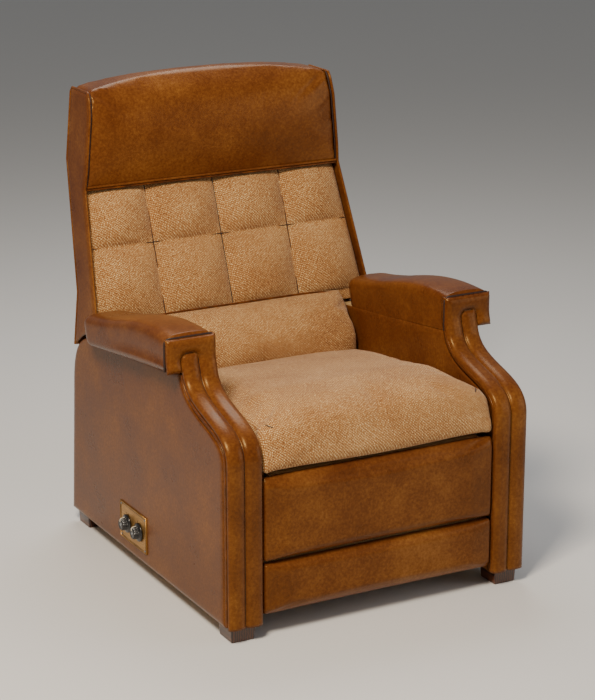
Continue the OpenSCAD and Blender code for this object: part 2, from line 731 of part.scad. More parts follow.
right_outer_panel();
left_outer_panel();
right_inner_panel();
left_inner_panel();
right_arm_frame();
left_arm_frame();
right_front_roll();
left_front_roll();
right_arm_pad();
left_arm_pad();
right_pad_cap();
left_pad_cap();
front_right_foot();
front_left_foot();
rear_right_foot();
rear_left_foot();
base_front_rail();
base_rear_rail();
rear_panel();
seat_tracks();
recline_brackets();
recline_bolts();
control_plate();
control_box();
plate_screws();
power_inlet();
seat_side_rails();
seat_cross_rails();
seat_springs();
seat_deck();
seat_cushion();
seat_glides();
legrest_ears();
legrest_pins();
drive_brackets();
motor_bracket();
massage_motor();
back_posts();
back_rails();
back_springs();
back_cushion();
headrest_cushion();
lumbar_cushion();
outside_back();
right_back_side();
left_back_side();
recline_levers();
lever_pins();
legrest_board();
legrest_upper_pad();
legrest_lower_pad();
legrest_back_cover();
legrest_cranks();
crank_pins();
push_rods();
front_knob();
rear_knob();
front_spindle();
rear_spindle();
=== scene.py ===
import json
import math

import bmesh
import bpy
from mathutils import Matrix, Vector, noise
from mathutils.bvhtree import BVHTree

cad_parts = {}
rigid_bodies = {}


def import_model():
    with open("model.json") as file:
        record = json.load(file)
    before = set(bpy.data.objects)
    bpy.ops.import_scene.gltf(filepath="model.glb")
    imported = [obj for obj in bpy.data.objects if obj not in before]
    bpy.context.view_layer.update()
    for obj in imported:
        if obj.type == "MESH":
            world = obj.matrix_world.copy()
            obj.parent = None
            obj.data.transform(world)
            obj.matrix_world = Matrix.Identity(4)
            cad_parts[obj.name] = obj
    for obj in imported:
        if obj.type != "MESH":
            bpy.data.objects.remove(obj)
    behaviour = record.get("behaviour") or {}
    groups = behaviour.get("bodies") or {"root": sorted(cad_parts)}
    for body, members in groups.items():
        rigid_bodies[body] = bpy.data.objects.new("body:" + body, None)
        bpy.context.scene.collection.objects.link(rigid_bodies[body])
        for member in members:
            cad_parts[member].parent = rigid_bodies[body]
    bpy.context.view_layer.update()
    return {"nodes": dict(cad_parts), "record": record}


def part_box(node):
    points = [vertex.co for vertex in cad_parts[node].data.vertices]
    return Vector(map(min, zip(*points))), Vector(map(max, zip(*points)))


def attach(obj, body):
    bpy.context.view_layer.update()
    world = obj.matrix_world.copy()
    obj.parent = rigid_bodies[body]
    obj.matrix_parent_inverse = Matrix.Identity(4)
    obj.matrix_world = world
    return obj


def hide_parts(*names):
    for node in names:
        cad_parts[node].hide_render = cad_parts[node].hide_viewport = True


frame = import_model()

# Places. Depths are millimetres behind the foremost plane, heights above the
# floor, widths from the centre plane. The sitter's right is -X.
MM = 0.001
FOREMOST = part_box("right_front_roll")[0][1]


def at(x, y, z):
    """A point given in millimetres, in the chair's frame."""
    return Vector((x * MM, FOREMOST + y * MM, z * MM))


def extent(node, axis):
    """Lowest and highest value of a node along an axis, in the same millimetres."""
    low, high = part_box(node)
    shift = FOREMOST if axis == 1 else 0.0
    return (low[axis] - shift) / MM, (high[axis] - shift) / MM


OVERALL_D = extent("outside_back", 1)[1]
OVERALL_H = extent("headrest_cushion", 2)[1]
ARM_OUT = extent("left_outer_panel", 0)[1]
ARM_IN = extent("left_inner_panel", 0)[0]
PAD_OUT = extent("left_arm_pad", 0)[1]
FOOT_H = extent("front_left_foot", 2)[1]
CAP_FRONT = extent("left_pad_cap", 1)[0]
CAP_TOP = extent("left_pad_cap", 2)[1]
PAD_UNDER = extent("left_front_roll", 2)[1]
PAD_REAR = extent("left_arm_pad", 1)[1]
PAD_LOW = extent("left_arm_pad", 2)[0]
KNEE_Z = 410
PAD_SLOPE = 0.116
SEAT_LOW = extent("seat_cushion", 2)[0]
BACK_LEAN = math.radians(20.5)
BACK_FRONT = 712
BACK_REF_Z = 577
BACK_FOOT_Z = 478
BACK_FOOT_W = 378
BACK_CROWN_W = 325
BACK_CROWN_Z = OVERALL_H - 28
HEADREST_Z = 844
SIDE_BAND = 6


def pad_under(y):
    return PAD_UNDER - (y - CAP_FRONT) * PAD_SLOPE


def back_front(z):
    return BACK_FRONT + (z - BACK_REF_Z) * math.tan(BACK_LEAN)


def back_half_w(z):
    t = (z - BACK_FOOT_Z) / (BACK_CROWN_Z - BACK_FOOT_Z)
    return BACK_FOOT_W + (BACK_CROWN_W - BACK_FOOT_W) * t


def mix(a, b, t):
    return a + (b - a) * t


def bezier(p, t):
    u = 1 - t
    return p[0] * u**3 + p[1] * 3 * u * u * t + p[2] * 3 * u * t * t + p[3] * t**3


def smooth(t):
    t = min(max(t, 0.0), 1.0)
    return t * t * (3 - 2 * t)


# Materials
def srgb(text):
    """An sRGB hex colour as linear RGBA."""
    parts = [int(text[i:i + 2], 16) / 255 for i in (1, 3, 5)]
    return [c / 12.92 if c <= 0.04045 else ((c + 0.055) / 1.055) ** 2.4 for c in parts] + [1.0]


def plug(tree, node, values):
    """Links a node's inputs to sockets, or sets them, by name or number."""
    for key, value in values.items():
        if isinstance(value, bpy.types.NodeSocket):
            tree.links.new(value, node.inputs[key])
        else:
            node.inputs[key].default_value = value


def add(tree, kind, links=None, stops=(), **settings):
    """One node with its settings, and its inputs linked or set by name or number.

    stops are the places and sRGB colours of a colour ramp.
    """
    node = tree.nodes.new(kind)
    for key, value in settings.items():
        setattr(node, key, value)
    plug(tree, node, links or {})
    if stops:
        row = node.color_ramp.elements
        while len(row) < len(stops):
            row.new(0.5)
        for element, (place, colour) in zip(row, stops):
            element.position = place
            element.color = srgb(colour)
    return node


def material(name):
    mat = bpy.data.materials.new(name)
    mat.use_nodes = True
    tree = mat.node_tree
    tree.nodes.clear()
    shader = tree.nodes.new("ShaderNodeBsdfPrincipled")
    out = tree.nodes.new("ShaderNodeOutputMaterial")
    tree.links.new(shader.outputs[0], out.inputs[0])
    place = tree.nodes.new("ShaderNodeTexCoord").outputs["Object"]
    return mat, tree, shader, place


def cognac_vinyl():
    # Expanded upholstery vinyl: semi-gloss, embossed with a fine hide grain, mottled cognac brown.
    mat, tree, shader, place = material("cognac_vinyl")
    cloud = add(tree, "ShaderNodeTexNoise", {"Vector": place, "Scale": 6.0, "Detail": 4.0, "Roughness": 0.6})
    mottle = add(tree, "ShaderNodeTexNoise", {"Vector": place, "Scale": 160.0, "Detail": 3.0,
                                                 "Roughness": 0.7})
    both = add(tree, "ShaderNodeMix", {"Factor": 0.45, 2: cloud.outputs[0], 3: mottle.outputs[0]})
    colour = add(tree, "ShaderNodeValToRGB", {0: both.outputs[0]},
                   stops=[(0.30, "#4a230f"), (0.46, "#603315"), (0.56, "#70411c"),
                          (0.72, "#8a5a2b")]).outputs[0]
    rough = add(tree, "ShaderNodeMapRange", {"Value": cloud.outputs[0], 1: 0.3, 2: 0.7, 3: 0.25, 4: 0.36})
    # Hide grain cells are about 1.4 mm across, drawn 2.6 mm across so that they show.
    cells = add(tree, "ShaderNodeTexVoronoi", {"Vector": place, "Scale": 380.0, "Smoothness": 0.6},
                feature="SMOOTH_F1")
    soft = add(tree, "ShaderNodeTexNoise", {"Vector": place, "Scale": 45.0, "Detail": 2.0})
    height = add(tree, "ShaderNodeMath", {0: cells.outputs[0], 1: soft.outputs[0]}, operation="ADD")
    bump = add(tree, "ShaderNodeBump", {"Height": height.outputs[0], "Strength": 0.16, "Distance": 0.0008})
    plug(tree, shader, {"Base Color": colour, "Roughness": rough.outputs[0], "Normal": bump.outputs[0],
                        "Specular IOR Level": 0.3, "Specular Tint": srgb("#ffd98c")})
    return mat


def welt_vinyl_painted_shade():
    # The same vinyl folded round a cord of about 4 mm, with a tight grain, drawn darker than the body vinyl
    # all over: painted shade of the seam grooves beside the welts.
    mat, tree, shader, place = material("welt_vinyl_painted_shade")
    cloud = add(tree, "ShaderNodeTexNoise", {"Vector": place, "Scale": 60.0, "Detail": 4.0})
    colour = add(tree, "ShaderNodeValToRGB", {0: cloud.outputs[0]},
                   stops=[(0.3, "#3a1808"), (0.55, "#5d2c0f"), (0.75, "#7c4418")]).outputs[0]
    cells = add(tree, "ShaderNodeTexVoronoi", {"Vector": place, "Scale": 900.0}, feature="DISTANCE_TO_EDGE")
    bump = add(tree, "ShaderNodeBump", {"Height": cells.outputs[0], "Strength": 0.15, "Distance": 0.0005})
    plug(tree, shader, {"Base Color": colour, "Normal": bump.outputs[0], "Roughness": 0.36,
                        "Specular Tint": srgb("#ffd98c"), "Coat Weight": 0.1, "Coat Roughness": 0.3})
    return mat


def tweed():
    # Wool-blend tweed: thick slubby yarns in tan, sand and rust, matt with a soft nap.
    mat, tree, shader, place = material("tan_tweed")
    # Yarns are 1.8 mm apart in the real cloth. So that the weave shows they are drawn
    # pitch mm apart across X, and about 4 mm apart on the slant.
    pitch = 3.6
    yarn = math.pi / pitch * 1000 / 20
    wave_x = add(tree, "ShaderNodeTexWave", {"Vector": place, "Scale": yarn * 2, "Distortion": 2.2,
                                             "Detail": 1.0, "Detail Scale": 2.0}, bands_direction="X")
    slant = add(tree, "ShaderNodeTexWave", {"Vector": place, "Scale": yarn * 2, "Distortion": 2.2,
                                             "Detail": 1.0, "Detail Scale": 2.0}, bands_direction="DIAGONAL")
    weave = add(tree, "ShaderNodeMath", {0: wave_x.outputs["Fac"], 1: slant.outputs["Fac"]},
                operation="MULTIPLY")
    fleck = add(tree, "ShaderNodeTexNoise", {"Vector": place, "Scale": 330.0, "Detail": 3.0,
                                                "Roughness": 0.75})
    shade = add(tree, "ShaderNodeTexNoise", {"Vector": place, "Scale": 9.0, "Detail": 3.0})
    tone = add(tree, "ShaderNodeMix", {"Factor": 0.22, 2: fleck.outputs[0], 3: weave.outputs[0]})
    all_tone = add(tree, "ShaderNodeMix", {"Factor": 0.12, 2: tone.outputs[0], 3: shade.outputs[0]})
    colour = add(tree, "ShaderNodeValToRGB", {0: all_tone.outputs[0]},
                   stops=[(0.30, "#5f3012"), (0.43, "#9c6a38"), (0.52, "#b98b55"),
                          (0.63, "#f0d59c")]).outputs[0]
    grain = add(tree, "ShaderNodeMath", {0: weave.outputs[0], 1: fleck.outputs[0]}, operation="ADD")
    bump = add(tree, "ShaderNodeBump", {"Height": grain.outputs[0], "Strength": 0.5, "Distance": 0.0012})
    plug(tree, shader, {"Base Color": colour, "Normal": bump.outputs[0], "Roughness": 0.95,
                        "Specular IOR Level": 0.2, "Sheen Weight": 0.15, "Sheen Roughness": 0.5})
    return mat


def wood(name, dark, mid, light, roughness, coat):
    # Straight-grained wood along Y, rings about 6 mm apart with fine pores.
    mat, tree, shader, place = material(name)
    stretch = add(tree, "ShaderNodeMapping", {"Vector": place, "Scale": (1.0, 0.08, 1.0)})
    rings = add(tree, "ShaderNodeTexWave", {"Vector": stretch.outputs[0], "Scale": 55.0, "Distortion": 5.0,
                                            "Detail": 3.0, "Detail Scale": 1.5}, bands_direction="X")
    pores = add(tree, "ShaderNodeTexNoise", {"Vector": stretch.outputs[0], "Scale": 900.0, "Detail": 2.0})
    tone = add(tree, "ShaderNodeMix", {"Factor": 0.35, 2: rings.outputs["Fac"], 3: pores.outputs[0]})
    colour = add(tree, "ShaderNodeValToRGB", {0: tone.outputs[0]},
                   stops=[(0.15, dark), (0.5, mid), (0.85, light)]).outputs[0]
    bump = add(tree, "ShaderNodeBump", {"Height": tone.outputs[0], "Strength": 0.2, "Distance": 0.0004})
    plug(tree, shader, {"Base Color": colour, "Normal": bump.outputs[0], "Roughness": roughness,
                        "Coat Weight": coat, "Coat Roughness": 0.2})
    return mat


def metal(name, dark, light, roughness, scale):
    # Sheet or wire with faint drawn streaks and handling marks.
    mat, tree, shader, place = material(name)
    streak = add(tree, "ShaderNodeTexNoise", {"Vector": place, "Scale": scale, "Detail": 5.0,
                                                 "Roughness": 0.6})
    colour = add(tree, "ShaderNodeValToRGB", {0: streak.outputs[0]},
                   stops=[(0.3, dark), (0.7, light)]).outputs[0]
    rough = add(tree, "ShaderNodeMapRange", {"Value": streak.outputs[0], 1: 0.3, 2: 0.7,
                                             3: roughness - 0.06, 4: roughness + 0.08})
    plug(tree, shader, {"Base Color": colour, "Roughness": rough.outputs[0], "Metallic": 1.0})
    return mat


def gilt_plate():
    # Anodised aluminium, brushed lengthways and dyed gold.
    mat, tree, shader, place = material("gilt_plate")
    brushed = add(tree, "ShaderNodeMapping", {"Vector": place, "Scale": (1.0, 0.03, 1.0)})
    lines = add(tree, "ShaderNodeTexNoise", {"Vector": brushed.outputs[0], "Scale": 1500.0, "Detail": 3.0})
    colour = add(tree, "ShaderNodeValToRGB", {0: lines.outputs[0]},
                   stops=[(0.35, "#96682f"), (0.65, "#c39a5a")]).outputs[0]
    bump = add(tree, "ShaderNodeBump", {"Height": lines.outputs[0], "Strength": 0.12, "Distance": 0.0002})
    plug(tree, shader, {"Base Color": colour, "Normal": bump.outputs[0], "Metallic": 0.85,
                        "Roughness": 0.38})
    return mat


def plain(name, colour, darker, roughness, scale, coat=0.0):
    # Moulded plastic, felt or cloth: one tone with a faint mottle and a fine surface texture.
    mat, tree, shader, place = material(name)
    cloud = add(tree, "ShaderNodeTexNoise", {"Vector": place, "Scale": scale, "Detail": 4.0})
    tone = add(tree, "ShaderNodeValToRGB", {0: cloud.outputs[0]},
                   stops=[(0.3, darker), (0.7, colour)]).outputs[0]
    bump = add(tree, "ShaderNodeBump", {"Height": cloud.outputs[0], "Strength": 0.15, "Distance": 0.0003})
    plug(tree, shader, {"Base Color": tone, "Normal": bump.outputs[0], "Roughness": roughness,
                        "Coat Weight": coat})
    return mat


VINYL = cognac_vinyl()
WELT_SHADE = welt_vinyl_painted_shade()
TWEED = tweed()
FOOT_WOOD = wood("stained_beech", "#241006", "#3d1d0c", "#5c3016", 0.38, 0.4)
FRAME_WOOD = wood("sawn_pine", "#9d7744", "#bf9a63", "#d4b483", 0.7, 0.0)
ZINC = metal("zinc_plated_steel", "#84888b", "#a9adb0", 0.38, 240.0)
WIRE = metal("spring_wire", "#55585a", "#7d8184", 0.42, 320.0)
GILT = gilt_plate()
KNOB_BLACK = plain("black_phenolic", "#1d1b1a", "#0d0c0c", 0.28, 90.0, 0.3)
DECK = plain("deck_cloth", "#c9bda4", "#a99b80", 0.92, 700.0)
DUST_CLOTH = plain("black_dust_cloth", "#262320", "#15120f", 0.95, 800.0)
NYLON = plain("natural_nylon", "#e3dfd2", "#cfc9b8", 0.45, 60.0)
MOTOR = plain("hammered_enamel", "#565a5d", "#3c4043", 0.42, 320.0, 0.3)
# Dark brown of the seam lines, cap welt and dart lines laid in the grooves: the real seams, coloured as
# painted shade of their grooves.
SEAM_SHADE = plain("seam_thread_painted_shade", "#2e160a", "#1d0d05", 0.6, 400.0)
IVORY = plain("ivory_paint", "#efe6d0", "#d8cdb2", 0.5, 300.0)
INK = plain("black_ink", "#161210", "#0c0a09", 0.5, 200.0)

CAD_FINISH = {"brown_vinyl": VINYL, "tan_tweed": TWEED, "stained_wood": FOOT_WOOD, "frame_wood": FRAME_WOOD,
              "zinc_steel": ZINC, "spring_wire": WIRE, "deck_cloth": DECK, "black_cloth": DUST_CLOTH,
              "nylon": NYLON, "gilt_plate": GILT, "motor_housing": MOTOR, "black_plastic": KNOB_BLACK}


def finish_cad_nodes():
    """Gives every carried-over CAD node the finish of its material slot."""
    for part in frame["record"]["subparts"]:
        node = frame["nodes"][part["node"]]
        node.data.materials.clear()
        node.data.materials.append(CAD_FINISH[part["material_slot"]])


# Mesh tools
def show(obj):
    bpy.context.scene.collection.objects.link(obj)


def new_piece(name, verts, faces, finish, body, slot_name, smooth_faces=True):
    mesh = bpy.data.meshes.new(name)
    mesh.from_pydata([tuple(v) for v in verts], [], faces)
    mesh.validate()
    obj = bpy.data.objects.new(name, mesh)
    show(obj)
    mesh.materials.append(finish)
    mesh.polygons.foreach_set("use_smooth", [smooth_faces] * len(mesh.polygons))
    obj["body"] = body
    obj["slot"] = slot_name
    return obj


def ring_faces(rings, around):
    """Faces that join rings of points in a row, with an end face on the first and the last."""
    faces = []
    for i in range(rings - 1):
        for k in range(around):
            j = (k + 1) % around
            faces.append((i * around + k, i * around + j, (i + 1) * around + j, (i + 1) * around + k))
    faces.append(tuple(range(around)))
    faces.append(tuple((rings - 1) * around + k for k in range(around)))
    return faces


def weld(obj, distance=0.0001):
    """Merges doubles and turns every face outward."""
    bm = bmesh.new()
    bm.from_mesh(obj.data)
    bmesh.ops.remove_doubles(bm, verts=bm.verts, dist=distance)
    bmesh.ops.recalc_face_normals(bm, faces=bm.faces)
    bm.to_mesh(obj.data)
    bm.free()


def bake(obj):
    """Replaces an object's mesh by its evaluated mesh and drops the modifiers."""
    graph = bpy.context.evaluated_depsgraph_get()
    mesh = bpy.data.meshes.new_from_object(obj.evaluated_get(graph))
    old = obj.data
    obj.modifiers.clear()
    obj.data = mesh
    bpy.data.meshes.remove(old)
    return obj


def grid_shell(name, rows, thickness, finish, body, slot_name, keep=None, outward=None):
    """A closed shell: an outer skin through rows of points, and the same skin moved inward.

    keep(i, j) says which cells are cloth, and outward is the way the outer skin looks.
    """
    nr, nc = len(rows), len(rows[0])
    verts = [p for row in rows for p in row]
    faces = []
    for i in range(nr - 1):
        for j in range(nc - 1):
            if keep is None or keep(i, j):
                faces.append((i * nc + j, i * nc + j + 1, (i + 1) * nc + j + 1, (i + 1) * nc + j))
    obj = new_piece(name, verts, faces, finish, body, slot_name)
    bm = bmesh.new()
    bm.from_mesh(obj.data)
    if outward is not None and sum(f.normal.dot(outward) * f.calc_area() for f in bm.faces) < 0:
        bmesh.ops.reverse_faces(bm, faces=bm.faces)
    loose = [v for v in bm.verts if not v.link_faces]
    bmesh.ops.delete(bm, geom=loose, context="VERTS")
    bm.to_mesh(obj.data)
    bm.free()
    shell = obj.modifiers.new("wall", "SOLIDIFY")
    shell.thickness = thickness * MM
    shell.offset = -1
    shell.use_even_offset = False
    bake(obj)
    return obj


def tube(name, points, radius, finish, body, slot_name, closed=False, sides=10):
    """A round cord swept through points, by Geometry Nodes, as a plain closed mesh."""
    curve = bpy.data.curves.new(name + "_path", "CURVE")
    curve.dimensions = "3D"
    line = curve.splines.new("POLY")
    line.points.add(len(points) - 1)
    for place, p in zip(line.points, points):
        place.co = (p[0], p[1], p[2], 1)
    line.use_cyclic_u = closed
    obj = bpy.data.objects.new(name, curve)
    show(obj)
    mod = obj.modifiers.new("sweep", "NODES")
    mod.node_group = sweep_tree(sides)
    ids = {s.name: s.identifier for s in mod.node_group.interface.items_tree if s.in_out == "INPUT"}
    mod[ids["Radius"]] = radius * MM
    mod[ids["Finish"]] = finish
    graph = bpy.context.evaluated_depsgraph_get()
    mesh = bpy.data.meshes.new_from_object(obj.evaluated_get(graph))
    bpy.data.objects.remove(obj)
    piece = bpy.data.objects.new(name, mesh)
    show(piece)
    piece["body"] = body
    piece["slot"] = slot_name
    mesh.polygons.foreach_set("use_smooth", [True] * len(mesh.polygons))
    return piece


def sweep_tree(sides):
    """Geometry Nodes that sweep a round section along a curve."""
    name = f"cord_sweep_{sides}"
    if name in bpy.data.node_groups:
        return bpy.data.node_groups[name]
    tree = bpy.data.node_groups.new(name, "GeometryNodeTree")
    tree.interface.new_socket("Geometry", in_out="INPUT", socket_type="NodeSocketGeometry")
    tree.interface.new_socket("Radius", in_out="INPUT", socket_type="NodeSocketFloat")
    tree.interface.new_socket("Finish", in_out="INPUT", socket_type="NodeSocketMaterial")
    tree.interface.new_socket("Geometry", in_out="OUTPUT", socket_type="NodeSocketGeometry")
    source = tree.nodes.new("NodeGroupInput")
    section = add(tree, "GeometryNodeCurvePrimitiveCircle",
                  {"Resolution": sides, "Radius": source.outputs["Radius"]})
    swept = add(tree, "GeometryNodeCurveToMesh", {"Curve": source.outputs["Geometry"],
                                                  "Profile Curve": section.outputs[0], "Fill Caps": True})
    real = add(tree, "GeometryNodeRealizeInstances", {0: swept.outputs[0]})
    finish = add(tree, "GeometryNodeSetMaterial",
                 {"Geometry": real.outputs[0], "Material": source.outputs["Finish"]})
    add(tree, "NodeGroupOutput", {0: finish.outputs[0]})
    return tree


def join(name, parts):
    """Joins objects that share a body and slot into one."""
    bm = bmesh.new()
    finishes = []
    for part in parts:
        start = len(bm.faces)
        bm.from_mesh(part.data)
        bm.faces.ensure_lookup_table()
        for face in bm.faces[start:]:
            finish = part.data.materials[face.material_index]
            if finish not in finishes:
                finishes.append(finish)
            face.material_index = finishes.index(finish)
    mesh = bpy.data.meshes.new(name)
    bm.to_mesh(mesh)
    bm.free()
    for finish in finishes:
        mesh.materials.append(finish)
    whole = bpy.data.objects.new(name, mesh)
    show(whole)
    whole["body"], whole["slot"] = parts[0]["body"], parts[0]["slot"]
    for part in parts:
        bpy.data.objects.remove(part)
    return whole


def remeshed(node, name, voxel, finish, body, slot_name):
    """A copy of a CAD node as an even quad mesh, ready for cloth."""
    mesh = frame["nodes"][node].data.copy()
    obj = bpy.data.objects.new(name, mesh)
    show(obj)
    weld(obj)
    even = obj.modifiers.new("even", "REMESH")
    even.mode = "VOXEL"
    even.voxel_size = voxel * MM
    bake(obj)
    obj.data.materials.clear()
    obj.data.materials.append(finish)
    obj["body"] = body
    obj["slot"] = slot_name
    return obj


def relax(obj, times, factor=0.5):
    """Smooths out the voxel steps."""
    calm = obj.modifiers.new("relax", "SMOOTH")
    calm.iterations = times
    calm.factor = factor
    bake(obj)


def shape(obj, move):
    """Moves each vertex by a function of its place in millimetres; move returns a new place."""
    for v in obj.data.vertices:
        x, y, z = v.co.x / MM, (v.co.y - FOREMOST) / MM, v.co.z / MM
        v.co = at(*move(x, y, z))
    obj.data.update()


def inflate(jobs, frames=20):
    """Blows up padded pieces with cloth pressure, all in one run.

    jobs is a list of (object, pressure, cap in mm, pinned(x, y, z) -> bool).
    """
    scene = bpy.context.scene
    starts = []
    for obj, pressure, cap, pinned in jobs:
        group = obj.vertex_groups.new(name="sewn")
        held = [v.index for v in obj.data.vertices
                if pinned(v.co.x / MM, (v.co.y - FOREMOST) / MM, v.co.z / MM)]
        group.add(held, 1.0, "REPLACE")
        starts.append([v.co.copy() for v in obj.data.vertices])
        cloth = obj.modifiers.new("cloth", "CLOTH")
        cloth.settings.quality = 5
        cloth.settings.mass = 0.3
        cloth.settings.tension_stiffness = 15
        cloth.settings.compression_stiffness = 15
        cloth.settings.shear_stiffness = 5
        cloth.settings.bending_stiffness = 0.5
        cloth.settings.use_pressure = True
        cloth.settings.uniform_pressure_force = pressure
        cloth.settings.effector_weights.gravity = 0
        cloth.settings.vertex_group_mass = "sewn"
        cloth.collision_settings.use_collision = False
        cloth.point_cache.frame_start = 1
        cloth.point_cache.frame_end = frames
    scene.frame_start, scene.frame_end = 1, frames
    for number in range(1, frames + 1):
        scene.frame_set(number)
    for (obj, pressure, cap, pinned), start in zip(jobs, starts):
        bake(obj)
        for v, old in zip(obj.data.vertices, start):
            step = v.co - old
            if step.length > cap * MM:
                v.co = old + step.normalized() * cap * MM
        obj.data.update()
    scene.frame_set(1)


def subdivide(obj, levels=1):
    finer = obj.modifiers.new("finer", "SUBSURF")
    finer.levels = levels
    finer.render_levels = levels
    bake(obj)
    obj.data.polygons.foreach_set("use_smooth", [True] * len(obj.data.polygons))


# Arms
SWEEP = [Vector((0, KNEE_Z)), Vector((2, KNEE_Z + 95)), Vector((CAP_FRONT - 27, PAD_UNDER - 91)),
         Vector((CAP_FRONT - 9, PAD_UNDER))]
FLUTE_TOP = PAD_UNDER + 40          # rounded top of the outer flute, part way up the cap
ROLL_CROWN = 9                      # height of the padding over its sewn edges
ROLL_INSET = 5                      # sewn edges lie this far behind the CAD outline
ROLL_WALL = 15                      # the cover turns back this far to the side panels


def front_path():
    """Centre line of the arm front, floor to cap top, as (y, z) points with their normals."""
    pts = [Vector((0, FOOT_H + (KNEE_Z - FOOT_H) * i / 60)) for i in range(60)]
    pts += [bezier(SWEEP, i / 60) for i in range(60)]
    cap = [SWEEP[3], Vector((CAP_FRONT - 4, PAD_UNDER + 12)), Vector((CAP_FRONT, PAD_UNDER + 24)),
           Vector((CAP_FRONT, PAD_UNDER + 38))]
    pts += [bezier(cap, i / 10) for i in range(10)]
    rest = CAP_TOP - (PAD_UNDER + 38)
    pts += [Vector((CAP_FRONT, PAD_UNDER + 38 + rest * i / 14)) for i in range(15)]
    out = []
    for i, p in enumerate(pts):
        along = (pts[min(i + 1, len(pts) - 1)] - pts[max(i - 1, 0)]).normalized()
        out.append((p, Vector((-along.y, along.x))))
    return out


def box_inside(x, z, x0, x1, z0, z1, r):
    """Distance inside a rounded box, negative outside it."""
    cx, cz, hx, hz = (x0 + x1) / 2, (z0 + z1) / 2, (x1 - x0) / 2, (z1 - z0) / 2
    dx, dz = abs(x - cx) - (hx - r), abs(z - cz) - (hz - r)
    outside = math.hypot(max(dx, 0), max(dz, 0))
    return r - outside - min(max(dx, dz), 0)


def crown(depth, reach, rise):
    """Height of padding at a distance inside its sewn edge."""
    t = min(max(depth / reach, 0.0), 1.0)
    return rise * math.sqrt(1 - (1 - t) ** 2)


def arm_front(side, label):
    """Padded front of an arm: two flutes up to the boxed cap, with its welts and seams."""
    path = front_path()
    length = [0.0]
    for (a, _), (b, _) in zip(path, path[1:]):
        length.append(length[-1] + (b - a).length)
    mid = (ARM_IN + ARM_OUT) / 2
    flute_end = next(s for s, (p, _) in zip(length, path) if p.y >= FLUTE_TOP)
    under = next(s for s, (p, _) in zip(length, path) if p.y >= PAD_UNDER)
    top = length[-1]
    walls = [ROLL_WALL, ROLL_WALL * 0.5]
    columns = [(ARM_IN, back) for back in walls]
    columns += [(ARM_IN + (ARM_OUT - ARM_IN) * i / 42, 0) for i in range(43)]
    columns += [(ARM_OUT + (PAD_OUT - ARM_OUT) * i / 17, 0) for i in range(1, 18)]
    arm_edge = len(walls) + 42
    rows = []
    for s, (p, n) in zip(length, path):
        row = []
        for x, back in columns:
            flute = box_inside(x, s, mid, ARM_OUT, -60, flute_end, 14)
            cap = box_inside(x, s, ARM_IN, PAD_OUT, under, top, 9)
            strip = box_inside(x, s, ARM_IN, mid, -60, under + 30, 2)
            scroll = min(max(cap, strip), -flute)
            if flute > 0:
                h = crown(flute, 19, ROLL_CROWN + 1)
            else:
                h = crown(scroll, 17, ROLL_CROWN + 1)
            h -= back
            row.append(at(side * x, p.x + ROLL_INSET + n.x * h, p.y + n.y * h))
        rows.append(row)
    if side < 0:
        rows = [list(reversed(row)) for row in rows]
        over = len(columns) - 1 - arm_edge
        keep = lambda i, j: length[i] >= under or j >= over
    else:
        keep = lambda i, j: length[i] >= under or j < arm_edge
    obj = grid_shell(f"{label}_arm_front", rows, 5, VINYL, "base", "brown_vinyl", keep)
    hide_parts(f"{label}_front_roll", f"{label}_pad_cap")

    def along(x, first, last, back):
        return [at(side * x, p.x + ROLL_INSET - n.x * back, p.y - n.y * back)
                for s, (p, n) in zip(length, path) if first <= s <= last]

    # The welts are darker than the vinyl and the flute seam is a dark line in the valley: real welts and
    # seam, with painted shade of their grooves.
    lines = [("flute_welt", along(ARM_OUT - 0.5, 6, under - 4, 5), 2.3, WELT_SHADE),
             ("flute_edge", along(ARM_OUT - 1, 6, under - 4, 11), 1.5, VINYL),
             ("inner_welt", along(ARM_IN + 1, 6, under + 20, 4), 2.0, WELT_SHADE),
             ("flute_seam", along(mid, 6, flute_end - 14, -0.4), 1.3, SEAM_SHADE)]
    seams = [tube(f"{label}_{name}", line, radius, finish, "base", "brown_vinyl")
             for name, line, radius, finish in lines]
    # Round the top of the outer flute, up to the edge of the arm, as a dark seam line: painted shade where
    # the flute ends.
    arc = []
    for k in range(25):
        a = math.pi * k / 24
        cx, half, r = (mid + ARM_OUT) / 2, (ARM_OUT - mid) / 2, 14
        x = cx - math.copysign(half - r, math.cos(a)) - r * math.cos(a)
        s = flute_end - r + r * math.sin(a)
        p, n = min(((abs(q - s), w) for q, w in zip(length, path)), key=lambda w: w[0])[1]
        arc.append(at(side * x, p.x + ROLL_INSET + 0.4, p.y))
    seams.append(tube(f"{label}_flute_top", arc, 1.3, SEAM_SHADE, "base", "brown_vinyl"))
    # Welt round the top and sides of the cap, in the dark seam colour: a real welt, coloured as painted
    # shade of the seam round the cap.
    low, high, r = PAD_UNDER + 4, CAP_TOP + 0.5, 12
    x0, x1 = ARM_IN + 0.5, PAD_OUT
    line = [(x1, low), (x1, high - r)]
    line += [(x1 - r + r * math.cos(a), high - r + r * math.sin(a)) for a in (0.4, 0.8, 1.2)]
    line += [(x1 - r, high), (x0 + r, high)]
    line += [(x0 + r - r * math.sin(a), high - r + r * math.cos(a)) for a in (0.4, 0.8, 1.2)]
    line += [(x0, high - r), (x0, low - 6)]
    edge = [at(side * x, CAP_FRONT + 8.5, z) for x, z in line]
    seams.append(tube(f"{label}_cap_welt", edge, 2.6, SEAM_SHADE, "base", "brown_vinyl"))
    return obj


